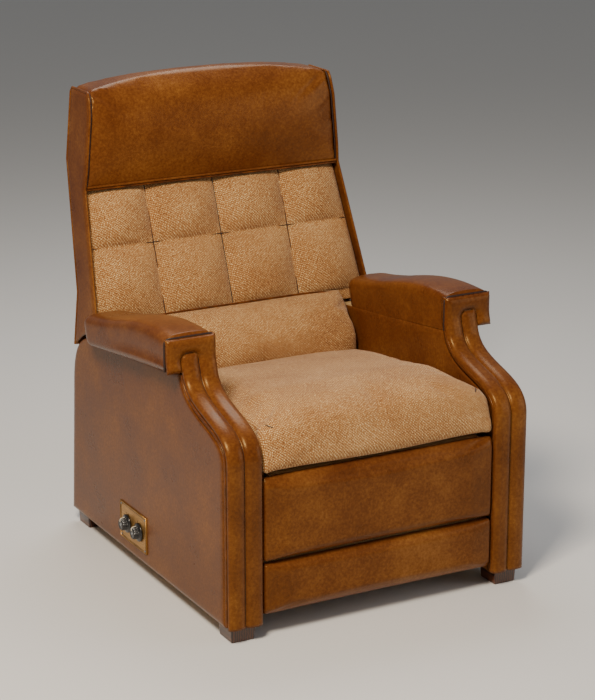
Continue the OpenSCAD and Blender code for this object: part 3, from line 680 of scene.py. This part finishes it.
def panel(name, line_a, line_b, columns, outward, rise, reach, wall, body, replaced, bend=None):
    """A covered panel ruled between two lines of points, fuller inside its edges.

    bend(u, v) moves a point at a share u across and v up the panel, in millimetres.
    """
    sums = [0.0]
    for k in range(1, len(line_a)):
        sums.append(sums[-1] + ((line_a[k] - line_a[k - 1]).length + (line_b[k] - line_b[k - 1]).length) / 2)
    rows = []
    for a, b, s in zip(line_a, line_b, sums):
        row = []
        width = (b - a).length
        for c in range(columns + 1):
            u = c / columns
            inside = min(u * width, (1 - u) * width, s, sums[-1] - s) / MM
            p = a.lerp(b, u) + outward * (crown(inside, reach, rise) - rise) * MM
            if bend is not None:
                p += Vector(bend(u, s / sums[-1])) * MM
            row.append(p)
        rows.append(row)
    obj = grid_shell(name, rows, wall, VINYL, body, "brown_vinyl", outward=outward)
    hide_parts(*replaced)
    return obj


def even(points, count):
    """Points spaced evenly along a line of 2-D points."""
    sums = [0.0]
    for a, b in zip(points, points[1:]):
        sums.append(sums[-1] + (Vector(b) - Vector(a)).length)
    out = []
    k = 0
    for i in range(count):
        s = sums[-1] * i / (count - 1)
        while k < len(sums) - 2 and sums[k + 1] < s:
            k += 1
        t = (s - sums[k]) / (sums[k + 1] - sums[k])
        out.append(Vector(points[k]).lerp(Vector(points[k + 1]), t))
    return out


ARM_REAR = OVERALL_D - 67
SHOULDER_Y = ARM_REAR - 117


def arm_edges(inset):
    """Front and rear edges of an arm's side, from the bottom to the top of the arm."""
    front = [Vector((inset, FOOT_H))]
    for i in range(41):
        t = i / 40
        u = 1 - t
        p = bezier(SWEEP, t)
        d = (3 * u * u * (SWEEP[1] - SWEEP[0]) + 6 * u * t * (SWEEP[2] - SWEEP[1])
             + 3 * t * t * (SWEEP[3] - SWEEP[2]))
        d.normalize()
        front.append(Vector((p.x + inset * d.y, p.y - inset * d.x)))
    top = pad_under(SHOULDER_Y)
    shoulder = [Vector((SHOULDER_Y, top)), Vector((SHOULDER_Y + 60, top - 17)),
                Vector((ARM_REAR - 35, KNEE_Z + 30)), Vector((ARM_REAR - 29, KNEE_Z - 30))]
    rear = [Vector((ARM_REAR, FOOT_H))] + [bezier(shoulder, 1 - i / 40) for i in range(41)]
    return front, rear


def arm_side(side, label):
    """Vinyl on the outer face of an arm."""
    front, rear = arm_edges(19)
    a = [at(side * (ARM_OUT + 0.4), p.x, p.y) for p in even(front, 90)]
    b = [at(side * (ARM_OUT + 0.4), p.x, p.y) for p in even(rear, 90)]
    return panel(f"{label}_arm_side", a, b, 90, Vector((side, 0, 0)), 3, 14, 4, "base",
                 [f"{label}_outer_panel"])


def arm_inside(side, label):
    """Vinyl on the seat side of an arm."""
    front, rear = arm_edges(17)
    a = [at(side * (ARM_IN - 0.3), p.x, p.y) for p in even(front, 80)]
    b = [at(side * (ARM_IN - 0.3), p.x, p.y) for p in even(rear, 80)]
    return panel(f"{label}_arm_inside", a, b, 70, Vector((-side, 0, 0)), 2.5, 30, 4, "base",
                 [f"{label}_inner_panel"])


HEAD_FRONT = back_front(HEADREST_Z) - 2
HEAD_LINE = [(0, HEADREST_Z), (-4, HEADREST_Z + 40), (-4, OVERALL_H - 85), (6, OVERALL_H - 45),
             (15, OVERALL_H - 32)]
REAR_KINK_Z = BACK_FOOT_Z + 117
BACK_LOW_Z = extent("outside_back", 2)[0] + 1
REAR_TOP_KINK_Z = OVERALL_H - 202
REAR_LEAN = math.radians(19.45)
REAR_LOW_Y = OVERALL_D - (REAR_TOP_KINK_Z - REAR_KINK_Z) * math.tan(REAR_LEAN)
CAP_UNDER_Z = OVERALL_H - 36
CROWN_DROP = 26


def band_front(low):
    """Front edge of a side band, from a height up to the crown, as (y, z)."""
    head = [(HEAD_FRONT + y, z) for y, z in HEAD_LINE[1:]]
    return [(back_front(low), low), (HEAD_FRONT, HEADREST_Z)] + head


def band_rear(low):
    """Rear edge of a side band, from a height up to the crown, as (y, z)."""
    return [(REAR_LOW_Y, low), (REAR_LOW_Y, REAR_KINK_Z), (OVERALL_D, REAR_TOP_KINK_Z),
            (OVERALL_D, CAP_UNDER_Z), (OVERALL_D - 8, OVERALL_H - 32)]


def back_band(side, label):
    """Side band of the back, with a welt round its edge and a seam beside the headrest."""
    front = even([Vector(p) for p in band_front(BACK_FOOT_Z + 34)], 90)
    rear = even([Vector(p) for p in band_rear(BACK_LOW_Z)], 90)
    a = [at(side * (back_half_w(p.y) + 0.5), p.x, p.y) for p in front]
    b = [at(side * (back_half_w(p.y) + 0.5), p.x - 2, p.y) for p in rear]
    tilt = Vector((side, 0, 0.09)).normalized()
    over_arm = lambda u, v: (0, 0, 17 * math.sin(math.pi * u) * max(1 - v * 9, 0))
    obj = panel(f"{label}_back_band", a, b, 40, tilt, 3, 16, 4, "back", [f"{label}_back_side"], over_arm)
    edge = [at(side * (back_half_w(p.y) - 3), p.x - 1, p.y) for p in front]
    end = front[-1]
    edge += [at(side * (back_half_w(end.y) - 4), mix(end.x, OVERALL_D - 6, t / 20), end.y + 1)
             for t in range(1, 21)]
    edge += [at(side * (back_half_w(p.y) - 2), p.x - 2, p.y) for p in reversed(rear[:-2])]
    tube(f"{label}_band_welt", edge, 3.2, VINYL, "back", "brown_vinyl")
    # The seam beside the headrest is drawn as a dark line: a real seam, coloured as painted shade of its
    # groove.
    inner = [at(side * (back_half_w(p.y) - SIDE_BAND - 2), p.x + 1.5, p.y)
             for p in front if p.y > HEADREST_Z - 2]
    tube(f"{label}_band_seam", inner, 1.6, SEAM_SHADE, "back", "brown_vinyl")
    return obj


def crown_rise(u):
    """How far the top of the back arches at a share of the way across it."""
    return CROWN_DROP * (1 - abs(2 * u - 1) ** 2.4)


def back_outside():
    """Vinyl over the outside of the back."""
    rear = even([Vector(p) for p in band_rear(BACK_LOW_Z)[:-1]], 90)
    a = [at(-back_half_w(p.y) + 4, p.x, p.y) for p in rear]
    b = [at(back_half_w(p.y) - 4, p.x, p.y) for p in rear]
    arch = lambda u, v: (0, 0, crown_rise(u) * 0.9 * v**12)
    return panel("outside_back_cover", a, b, 60, Vector((0, 1, 0)), 5, 60, 4, "back", ["outside_back"], arch)


def base_rear():
    """Vinyl over the rear panel between the arms."""
    rear = arm_edges(17)[1]
    line = [p for p in even(rear, 90) if p.y < KNEE_Z + 46]
    half = ARM_OUT - 7
    a = [at(-half, p.x, p.y) for p in line]
    b = [at(half, p.x, p.y) for p in line]
    return panel("rear_cover", a, b, 70, Vector((0, 1, 0)), 3, 30, 3, "base", ["rear_panel"])


def pad_top(y):
    """Top of the arm pad: level at the front, then falling toward the back."""
    t = (y - CAP_FRONT) / (PAD_REAR - CAP_FRONT)
    return CAP_TOP + 4 - 66 * smooth(t * 0.93) ** 1.25 * 1.02 + 5 * math.sin(math.pi * min(t * 1.6, 1))


def arm_pad(side, label):
    """Arm pad: crowned section lofted from the cap to a rounded rear end."""
    stations, around = 70, 72
    start, end = CAP_FRONT + 9, PAD_REAR - 2
    rows = []
    for i in range(stations + 1):
        t = i / stations
        y = mix(start, end, t)
        tail = max(0.0, (y - (end - 42)) / 42)
        shrink = math.sqrt(max(1 - tail**2, 0.0004))
        lo, hi = pad_under(y) - 1, pad_top(y)
        x0, x1 = ARM_IN + 1.5, PAD_OUT - 1
        cx, cz = (x0 + x1) / 2, (lo + hi) / 2
        hx, hz = (x1 - x0) / 2, (hi - lo) / 2
        row = []
        for k in range(around):
            a = 2 * math.pi * k / around
            c, s = math.cos(a), math.sin(a)
            power = 2 / 5.5
            ux = math.copysign(abs(c) ** power, c)
            uz = math.copysign(abs(s) ** power, s)
            square = smooth(-ux * 4) * smooth((0.5 - uz) * 2)
            x = cx + hx * mix(ux, -1, square) * mix(0.55, 1, shrink)
            z = cz + hz * uz * shrink
            if uz > 0:
                z += 5 * (1 - ux * ux) * shrink
            fold = math.exp(-((uz + 0.28) / 0.13) ** 2) * smooth((0.8 - t) / 0.5)
            if ux > 0.9:
                x -= 7.0 * fold
                x += 2.5 * math.exp(-((uz + 0.62) / 0.25) ** 2) * smooth((0.8 - t) / 0.5)
            lean = (z - PAD_LOW) * math.tan(BACK_LEAN) * t * 0.8 - 22 * t
            row.append(at(side * x, y + lean, z))
        rows.append(row)
    verts = [p for row in rows for p in row]
    faces = ring_faces(stations + 1, around)
    obj = new_piece(f"{label}_arm_pad_cover", verts, faces, VINYL, "base", "brown_vinyl")
    weld(obj)
    obj.data.polygons.foreach_set("use_smooth", [True] * len(obj.data.polygons))
    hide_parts(f"{label}_arm_pad")
    return obj


# Soft pieces
def seat_cushion():
    obj = remeshed("seat_cushion", "seat_cushion_cover", 7, TWEED, "seat", "tan_tweed")

    def settle(x, y, z):
        # Lower the top toward the arms and round the front corners before it is blown up.
        edge = abs(x) / ARM_IN
        top = smooth((z - SEAT_LOW) / 90)
        z -= 20 * edge**4 * top + 5 * top
        y += 7 * edge**12 * smooth((120 - y) / 120) * smooth((z - SEAT_LOW) / 60) - 2 * smooth((60 - y) / 60)
        return x, y, z

    shape(obj, settle)
    relax(obj, 4)
    return obj


def lumbar():
    obj = remeshed("lumbar_cushion", "lumbar_cover", 6, TWEED, "back", "tan_tweed")

    def settle(x, y, z):
        edge = abs(x) / ARM_IN
        y += 16 * edge**10 * smooth((700 - y) / 90)
        return x * 0.985, y + 3, z - 4 * edge**6

    shape(obj, settle)
    relax(obj, 6)
    return obj


def headrest():
    obj = remeshed("headrest_cushion", "headrest_cover", 7, VINYL, "back", "brown_vinyl")
    relax(obj, 5)
    return obj


SEAM_XS = (-182, 0, 182)
SEAM_Z = 704
PILLOW_RISE = 31
SEAM_DEPTH = 21                     # the seams are drawn in this far behind the front of the back
ROLL_TOP_Z = extent("lumbar_cushion", 2)[1]


def pillow(u, power):
    """Fullness of a pillow at a share of the way across it."""
    return max(math.sin(math.pi * min(max(u, 0.0), 1.0)), 0.0) ** power


def tufted_height(x, z, half, high):
    """How far the sewn pillows of the back stand over their seams."""
    lines = (-half,) + SEAM_XS + (half,)
    rows = (ROLL_TOP_Z - 14, SEAM_Z, high)
    if z <= rows[0]:
        return 0.0
    u = next((x - a) / (b - a) for a, b in zip(lines, lines[1:]) if x <= b + 0.001)
    v = next((z - a) / (b - a) for a, b in zip(rows, rows[1:]) if z <= b + 0.001)
    full = pillow(u, 0.7) * pillow(v, 0.62)
    # Gathers run out from each tuft, where the seams cross.
    gather = 0.0
    for sx in SEAM_XS:
        r = math.hypot(x - sx, z - SEAM_Z)
        turn = math.atan2(z - SEAM_Z, x - sx)
        gather += 1.6 * math.exp(-((r - 26) / 20) ** 2) * math.cos(9 * turn + sx)
    ease = noise.noise(Vector((x * 0.013, z * 0.013, 3.1))) * 1.6
    return PILLOW_RISE * full + (gather + ease) * full


def back_cushion():
    """Front of the back: a tufted grid with its lines on the seams, and a flat back."""
    low, high = BACK_FOOT_Z + 34, HEADREST_Z - 1
    nx, nz = 152, 68
    front, rear = [], []
    for j in range(nz + 1):
        z = mix(low, high, j / nz)
        half = back_half_w(z) - SIDE_BAND - 1
        for i in range(nx + 1):
            x = -half + 2 * half * i / nx
            depth = SEAM_DEPTH - tufted_height(x, z, half, high)
            front.append(at(x, back_front(z) + depth, z))
            rear.append(at(x, back_front(z) + 37, z))
    verts = front + rear
    faces = []
    n = nx + 1
    layer = n * (nz + 1)
    for j in range(nz):
        for i in range(nx):
            a = j * n + i
            faces.append((a, a + 1, a + n + 1, a + n))
            faces.append((layer + a, layer + a + n, layer + a + n + 1, layer + a + 1))
    rim = [i for i in range(n)] + [j * n + nx for j in range(1, nz + 1)]
    rim += [nz * n + i for i in range(nx - 1, -1, -1)] + [j * n for j in range(nz - 1, 0, -1)]
    for a, b in zip(rim, rim[1:] + rim[:1]):
        faces.append((a, layer + a, layer + b, b))
    obj = new_piece("back_cushion_cover", verts, faces, TWEED, "back", "tan_tweed")
    weld(obj)
    return obj


def back_depth(y, z):
    """How far a point lies behind the back's front plane."""
    return y - back_front(z)


SEAT_LIP = 24                       # how far the front roll of the seat hangs below its underside


def make_soft_pieces():
    seat, roll, head, back = seat_cushion(), lumbar(), headrest(), back_cushion()
    upper = remeshed("legrest_upper_pad", "legrest_upper_cover", 6, VINYL, "legrest", "brown_vinyl")
    lower = remeshed("legrest_lower_pad", "legrest_lower_cover", 6, VINYL, "legrest", "brown_vinyl")
    for pad in (upper, lower):
        heights = [v.co.z for v in pad.data.vertices]
        low_z, high_z = min(heights) / MM, max(heights) / MM

        def fuller(x, y, z):
            across = min(1 - abs(x) / ARM_IN, 0.12) / 0.12
            up = min((z - low_z) / 26, (high_z - z) / 26, 1)
            full = math.sqrt(max(1 - (1 - across) ** 2, 0)) * math.sqrt(max(1 - (1 - up) ** 2, 0))
            return x * 0.998, y + (6 - 8 * full) * smooth((14 - y) / 12), z

        shape(pad, fuller)
        relax(pad, 3)

    def back_sewn(x, y, z):
        if back_depth(y, z) > 28 or z > HEADREST_Z - 6 or z < BACK_FOOT_Z + 40:
            return True
        near_edge = abs(x) > back_half_w(z) - SIDE_BAND - 5
        near_column = min(abs(x - s) for s in SEAM_XS) < 2.5
        return near_edge or near_column or abs(z - SEAM_Z) < 3

    inflate([
        (seat, 4.0, 16, lambda x, y, z: (z < SEAT_LOW + 8 and y > 40) or y > 560),
        (roll, 4.0, 14, lambda x, y, z: back_depth(y, z) > -3 and y > 640),
        (head, 4.0, 12, lambda x, y, z: y > 850 or z < HEADREST_Z + 5 or abs(x) > back_half_w(z) - 10),
        (back, 4.0, 6, back_sewn),
        (upper, 1.5, 3, lambda x, y, z: y > 14 or abs(x) > ARM_IN - 14),
        (lower, 1.5, 3, lambda x, y, z: y > 14 or abs(x) > ARM_IN - 14),
    ])
    side_limit = ARM_IN - 1.2

    def seat_finish(x, y, z):
        # The front roll hangs over the legrest; a dart is taken in at each front corner.
        lip = SEAT_LIP * smooth((34 - y) / 22) * min(max(1 - (z - SEAT_LOW) / 60, 0), 1)
        y -= 7 * smooth((30 - y) / 26) * smooth((SEAT_LOW + 60 - z) / 60)
        z = max(z, SEAT_LOW) - lip
        for sx in (-1, 1):
            along = (sx * x - 250) / 36
            line = z - (SEAT_LOW + 88 + 12 * along)
            if 0 < along < 1.2 and y < 90:
                z -= 3.5 * math.exp(-(line / 5) ** 2) * smooth(along)
                y += 3.5 * math.exp(-(line / 5) ** 2) * smooth(along)
        return max(-side_limit, min(side_limit, x)), y, z

    shape(seat, seat_finish)
    shape(roll, lambda x, y, z: (max(-side_limit + 1, min(side_limit - 1, x)), y, z))
    for obj in (seat, roll, head, back, upper, lower):
        subdivide(obj)
    for obj, node, fill in ((seat, "seat_cushion", 0.8), (roll, "lumbar_cushion", 0.8),
                            (head, "headrest_cushion", 0.8), (back, "back_cushion", 0.7),
                            (upper, "legrest_upper_pad", 0.7), (lower, "legrest_lower_pad", 0.7)):
        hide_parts(node)
    return seat, roll, head, back, upper, lower


def back_trim():
    """Stitched seams of the tufted back, drawn as dark lines in the grooves (painted shade of the grooves),
    and the welts of the back's covers, some drawn darker as painted shade.
    """
    low, high = BACK_FOOT_Z + 60, HEADREST_Z - 6
    # Tuft seams: dark lines laid in the grooves, the real seams coloured as painted shade of the grooves.
    for i, x in enumerate(SEAM_XS):
        heights = [mix(low, high, t / 40) for t in range(41)]
        line = [at(x, back_front(z) + SEAM_DEPTH - 1.6, z) for z in heights]
        tube(f"tuft_seam_{i}", line, 1.2, SEAM_SHADE, "back", "tan_tweed")
    half = back_half_w(SEAM_Z) - SIDE_BAND - 6
    line = [at(mix(-half, half, t / 60), back_front(SEAM_Z) + SEAM_DEPTH - 1.6, SEAM_Z) for t in range(61)]
    tube("tuft_seam_across", line, 1.2, SEAM_SHADE, "back", "tan_tweed")
    half = back_half_w(HEADREST_Z) - SIDE_BAND - 2
    # The lower of the two headrest welts is darker: painted shade under the headrest.
    for i, (drop, radius, finish) in enumerate(((3, 3.0, VINYL), (-3, 2.2, WELT_SHADE))):
        line = [at(mix(-half, half, t / 60), back_front(HEADREST_Z) - 3 + i, HEADREST_Z + drop)
                for t in range(61)]
        tube(f"headrest_welt_{i}", line, radius, finish, "back", "brown_vinyl")
    # Welt along the top of the lumbar bolster, drawn darker than the vinyl: painted shade over the top of
    # the bolster.
    top = ROLL_TOP_Z
    line = [at(mix(-ARM_IN + 12, ARM_IN - 12, t / 60), back_front(top) - 8 - 4 * abs(t / 30 - 1) ** 8,
               top - 3 - 16 * abs(t / 30 - 1) ** 8) for t in range(61)]
    tube("lumbar_welt", line, 2.4, WELT_SHADE, "back", "tan_tweed")


def back_infill(side, label):
    """Vinyl strip behind the end of the lumbar bolster, partly inside the back cushion.

    It is out of sight from the camera, and doesn't cover the gap between bolster and arm.
    """
    rows = []
    for i in range(9):
        z = mix(BACK_FOOT_Z + 20, ROLL_TOP_Z + 30, i / 8)
        rows.append([at(side * mix(236, ARM_IN - 3, j / 6), back_front(z) + 16 + 4 * (j / 6) ** 2, z)
                     for j in range(7)])
    return grid_shell(f"{label}_back_infill", rows, 2.0, VINYL, "back", "brown_vinyl",
                      outward=Vector((0, -1, 0)))


DART_START, DART_IN, DART_OUT = 250, 256, 287       # distances from the centre plane
DART_Z = SEAT_LOW + 88                              # height of a dart at its inner end


def seat_darts(seat):
    """The sewn dart at each front corner of the seat, a dark line laid along the finished cloth: the real
    dart, coloured as painted shade of its crease.
    """
    surface = BVHTree.FromPolygons([v.co for v in seat.data.vertices],
                                   [tuple(p.vertices) for p in seat.data.polygons])
    for side, label in ((-1, "right"), (1, "left")):
        line = []
        for t in range(13):
            x = mix(DART_IN, DART_OUT, t / 12)
            start = at(side * x, -60, DART_Z + (x - DART_START) / 3)
            hit = surface.ray_cast(start, Vector((0, 1, 0)))[0]
            if hit is not None:
                line.append(hit + Vector((0, 0.0003, 0)))
        if len(line) > 3:
            tube(f"{label}_seat_dart", line, 1.4, SEAM_SHADE, "seat", "tan_tweed")


def turned(name, centre, outline, scallops, depth, finish, body, slot_name, ribbed):
    """A turned piece on an axis along X; the rings listed in ribbed carry scallops."""
    count = 96
    verts = []
    for k, (x, r) in enumerate(outline):
        for i in range(count):
            a = 2 * math.pi * i / count
            dent = depth * (0.5 + 0.5 * math.cos(scallops * a)) if k in ribbed else 0
            reach = r - dent
            verts.append(at(centre[0] - x, centre[1] + reach * math.cos(a), centre[2] + reach * math.sin(a)))
    faces = ring_faces(len(outline), count)
    obj = new_piece(name, verts, faces, finish, body, slot_name)
    weld(obj)
    edge = obj.modifiers.new("edge", "BEVEL")
    edge.width = 0.0006
    edge.segments = 2
    edge.limit_method = "ANGLE"
    bake(obj)
    return obj


def knob(label):
    low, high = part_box(f"{label}_knob")
    x = -high[0] / MM
    centre = (-x, ((low[1] + high[1]) / 2 - FOREMOST) / MM, (low[2] + high[2]) / 2 / MM)
    full = (high[0] - low[0]) / MM
    r = (high[2] - low[2]) / 2 / MM
    grip = r * 0.7
    outline = [(0, r), (2.5, r), (4, r - 2), (4.6, grip + 1), (6, grip), (full - 2.5, grip - 1.2),
               (full - 0.6, grip - 2.6), (full, grip - 5), (full - 1.2, grip - 7)]
    obj = turned(f"{label}_knob_cap", centre, outline, 16, 1.6, KNOB_BLACK, f"{label}_control",
                 "black_plastic", (4, 5, 6))
    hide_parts(f"{label}_knob")
    # An ivory pointer line on the grip, and a small zinc disc in the middle of its face.
    mark = []
    pointer = ((full + 0.3, grip - 8), (full + 0.3, grip - 3), (full - 2, grip - 0.2), (6.5, grip + 0.8))
    for dx, rr in pointer:
        mark.append(at(centre[0] - dx, centre[1], centre[2] + rr))
    tube(f"{label}_pointer", mark, 0.9, IVORY, f"{label}_control", "black_plastic")
    disc = [(full - 2, 3.4), (full - 0.6, 3.4), (full - 0.2, 2.8)]
    turned(f"{label}_knob_disc", centre, disc, 1, 0, ZINC, f"{label}_control", "zinc_steel", ())


def control_details():
    knob("front")
    knob("rear")
    low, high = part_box("control_plate")
    y0, y1 = ((v - FOREMOST) / MM for v in (low[1], high[1]))
    z0, z1 = low[2] / MM, high[2] / MM
    x = low[0] / MM
    for inset, radius, finish, name in ((1.2, 1.3, GILT, "rim"), (5, 0.5, INK, "line")):
        a, b, c, d = y0 + inset, y1 - inset, z0 + inset, z1 - inset
        line = [at(x - 0.1, p, q) for p, q in ((a, c), (b, c), (b, d), (a, d))]
        tube(f"plate_{name}", line, radius, finish, "base", "gilt_plate", closed=True)
    # Dial graduations round each knob, raised from the plate.
    ticks = []
    for label in ("front", "rear"):
        k_low, k_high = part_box(f"{label}_knob")
        cy, cz = ((k_low[1] + k_high[1]) / 2 - FOREMOST) / MM, (k_low[2] + k_high[2]) / 2 / MM
        r = (k_high[2] - k_low[2]) / 2 / MM
        for i in range(10):
            a = math.radians(225 - 30 * i)
            p, q = (r + 1.5), (r + 5)
            ends = [at(x - 0.2, cy + w * math.cos(a), cz + w * math.sin(a)) for w in (p, q)]
            ticks.append(tube(f"{label}_tick_{i}", ends, 0.45, INK, "base", "gilt_plate", sides=6))
    join("dial_ticks", ticks)


def feet():
    for node in ("front_right_foot", "front_left_foot", "rear_right_foot", "rear_left_foot"):
        mesh = frame["nodes"][node].data.copy()
        obj = bpy.data.objects.new(f"{node}_block", mesh)
        show(obj)
        weld(obj)
        low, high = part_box(node)
        mid = (Vector(low) + Vector(high)) / 2
        for v in obj.data.vertices:
            if v.co.z < 0.001:
                v.co.x = mid.x + (v.co.x - mid.x) * 0.93
                v.co.y = mid.y + (v.co.y - mid.y) * 0.93
        edge = obj.modifiers.new("edge", "BEVEL")
        edge.width = 0.003
        edge.segments = 3
        bake(obj)
        obj.data.materials.clear()
        obj.data.materials.append(FOOT_WOOD)
        obj["body"], obj["slot"] = "base", "stained_wood"
        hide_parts(node)


# Stage
def stage():
    mesh = bpy.data.meshes.new("floor")
    size = 30.0
    corners = [(-size, -size, 0), (size, -size, 0), (size, size, 0), (-size, size, 0)]
    mesh.from_pydata(corners, [], [(0, 1, 2, 3)])
    floor = bpy.data.objects.new("floor", mesh)
    show(floor)
    mat, _, shader, _ = material("pale_floor")
    shader.inputs["Base Color"].default_value = srgb("#dcdad6")
    shader.inputs["Roughness"].default_value = 0.9
    mesh.materials.append(mat)
    world = bpy.data.worlds.new("studio")
    world.use_nodes = True
    world.node_tree.nodes["Background"].inputs[0].default_value = srgb("#e9ebee")
    world.node_tree.nodes["Background"].inputs[1].default_value = 0.24
    bpy.context.scene.world = world
    lights = [((-1.8, -1.7, 3.1), 0.9, 165, "#fff1de"), ((2.6, -2.4, 1.3), 1.8, 20, "#eef3ff"),
              ((0.6, 1.4, 3.0), 1.6, 40, "#ffffff")]
    for i, (spot, size_m, power, tint) in enumerate(lights):
        lamp = bpy.data.lights.new(f"softbox_{i}", "AREA")
        lamp.size = size_m
        lamp.energy = power
        lamp.color = srgb(tint)[:3]
        obj = bpy.data.objects.new(f"softbox_{i}", lamp)
        show(obj)
        obj.location = spot
        obj.rotation_euler = (Vector((0, 0, 0.5)) - Vector(spot)).to_track_quat("-Z", "Y").to_euler()


def camera():
    cam = bpy.data.cameras.new("camera")
    cam.sensor_width = 36
    cam.lens = 113.1
    obj = bpy.data.objects.new("camera", cam)
    show(obj)
    obj.location = (-2.3297, FOREMOST - 3.8899, 1.9970)
    obj.rotation_euler = (math.radians(90 - 16.966), 0, math.radians(-28.564))
    cam.clip_end = 60
    bpy.context.scene.camera = obj


finish_cad_nodes()
camera()
stage()
seat_darts(make_soft_pieces()[0])
for side, label in ((-1, "right"), (1, "left")):
    arm_front(side, label)
    arm_pad(side, label)
    arm_side(side, label)
    arm_inside(side, label)
    back_band(side, label)
    back_infill(side, label)
back_outside()
base_rear()
back_trim()
control_details()
feet()

for obj in list(bpy.context.scene.objects):
    if "body" in obj and obj.type == "MESH":
        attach(obj, obj["body"])
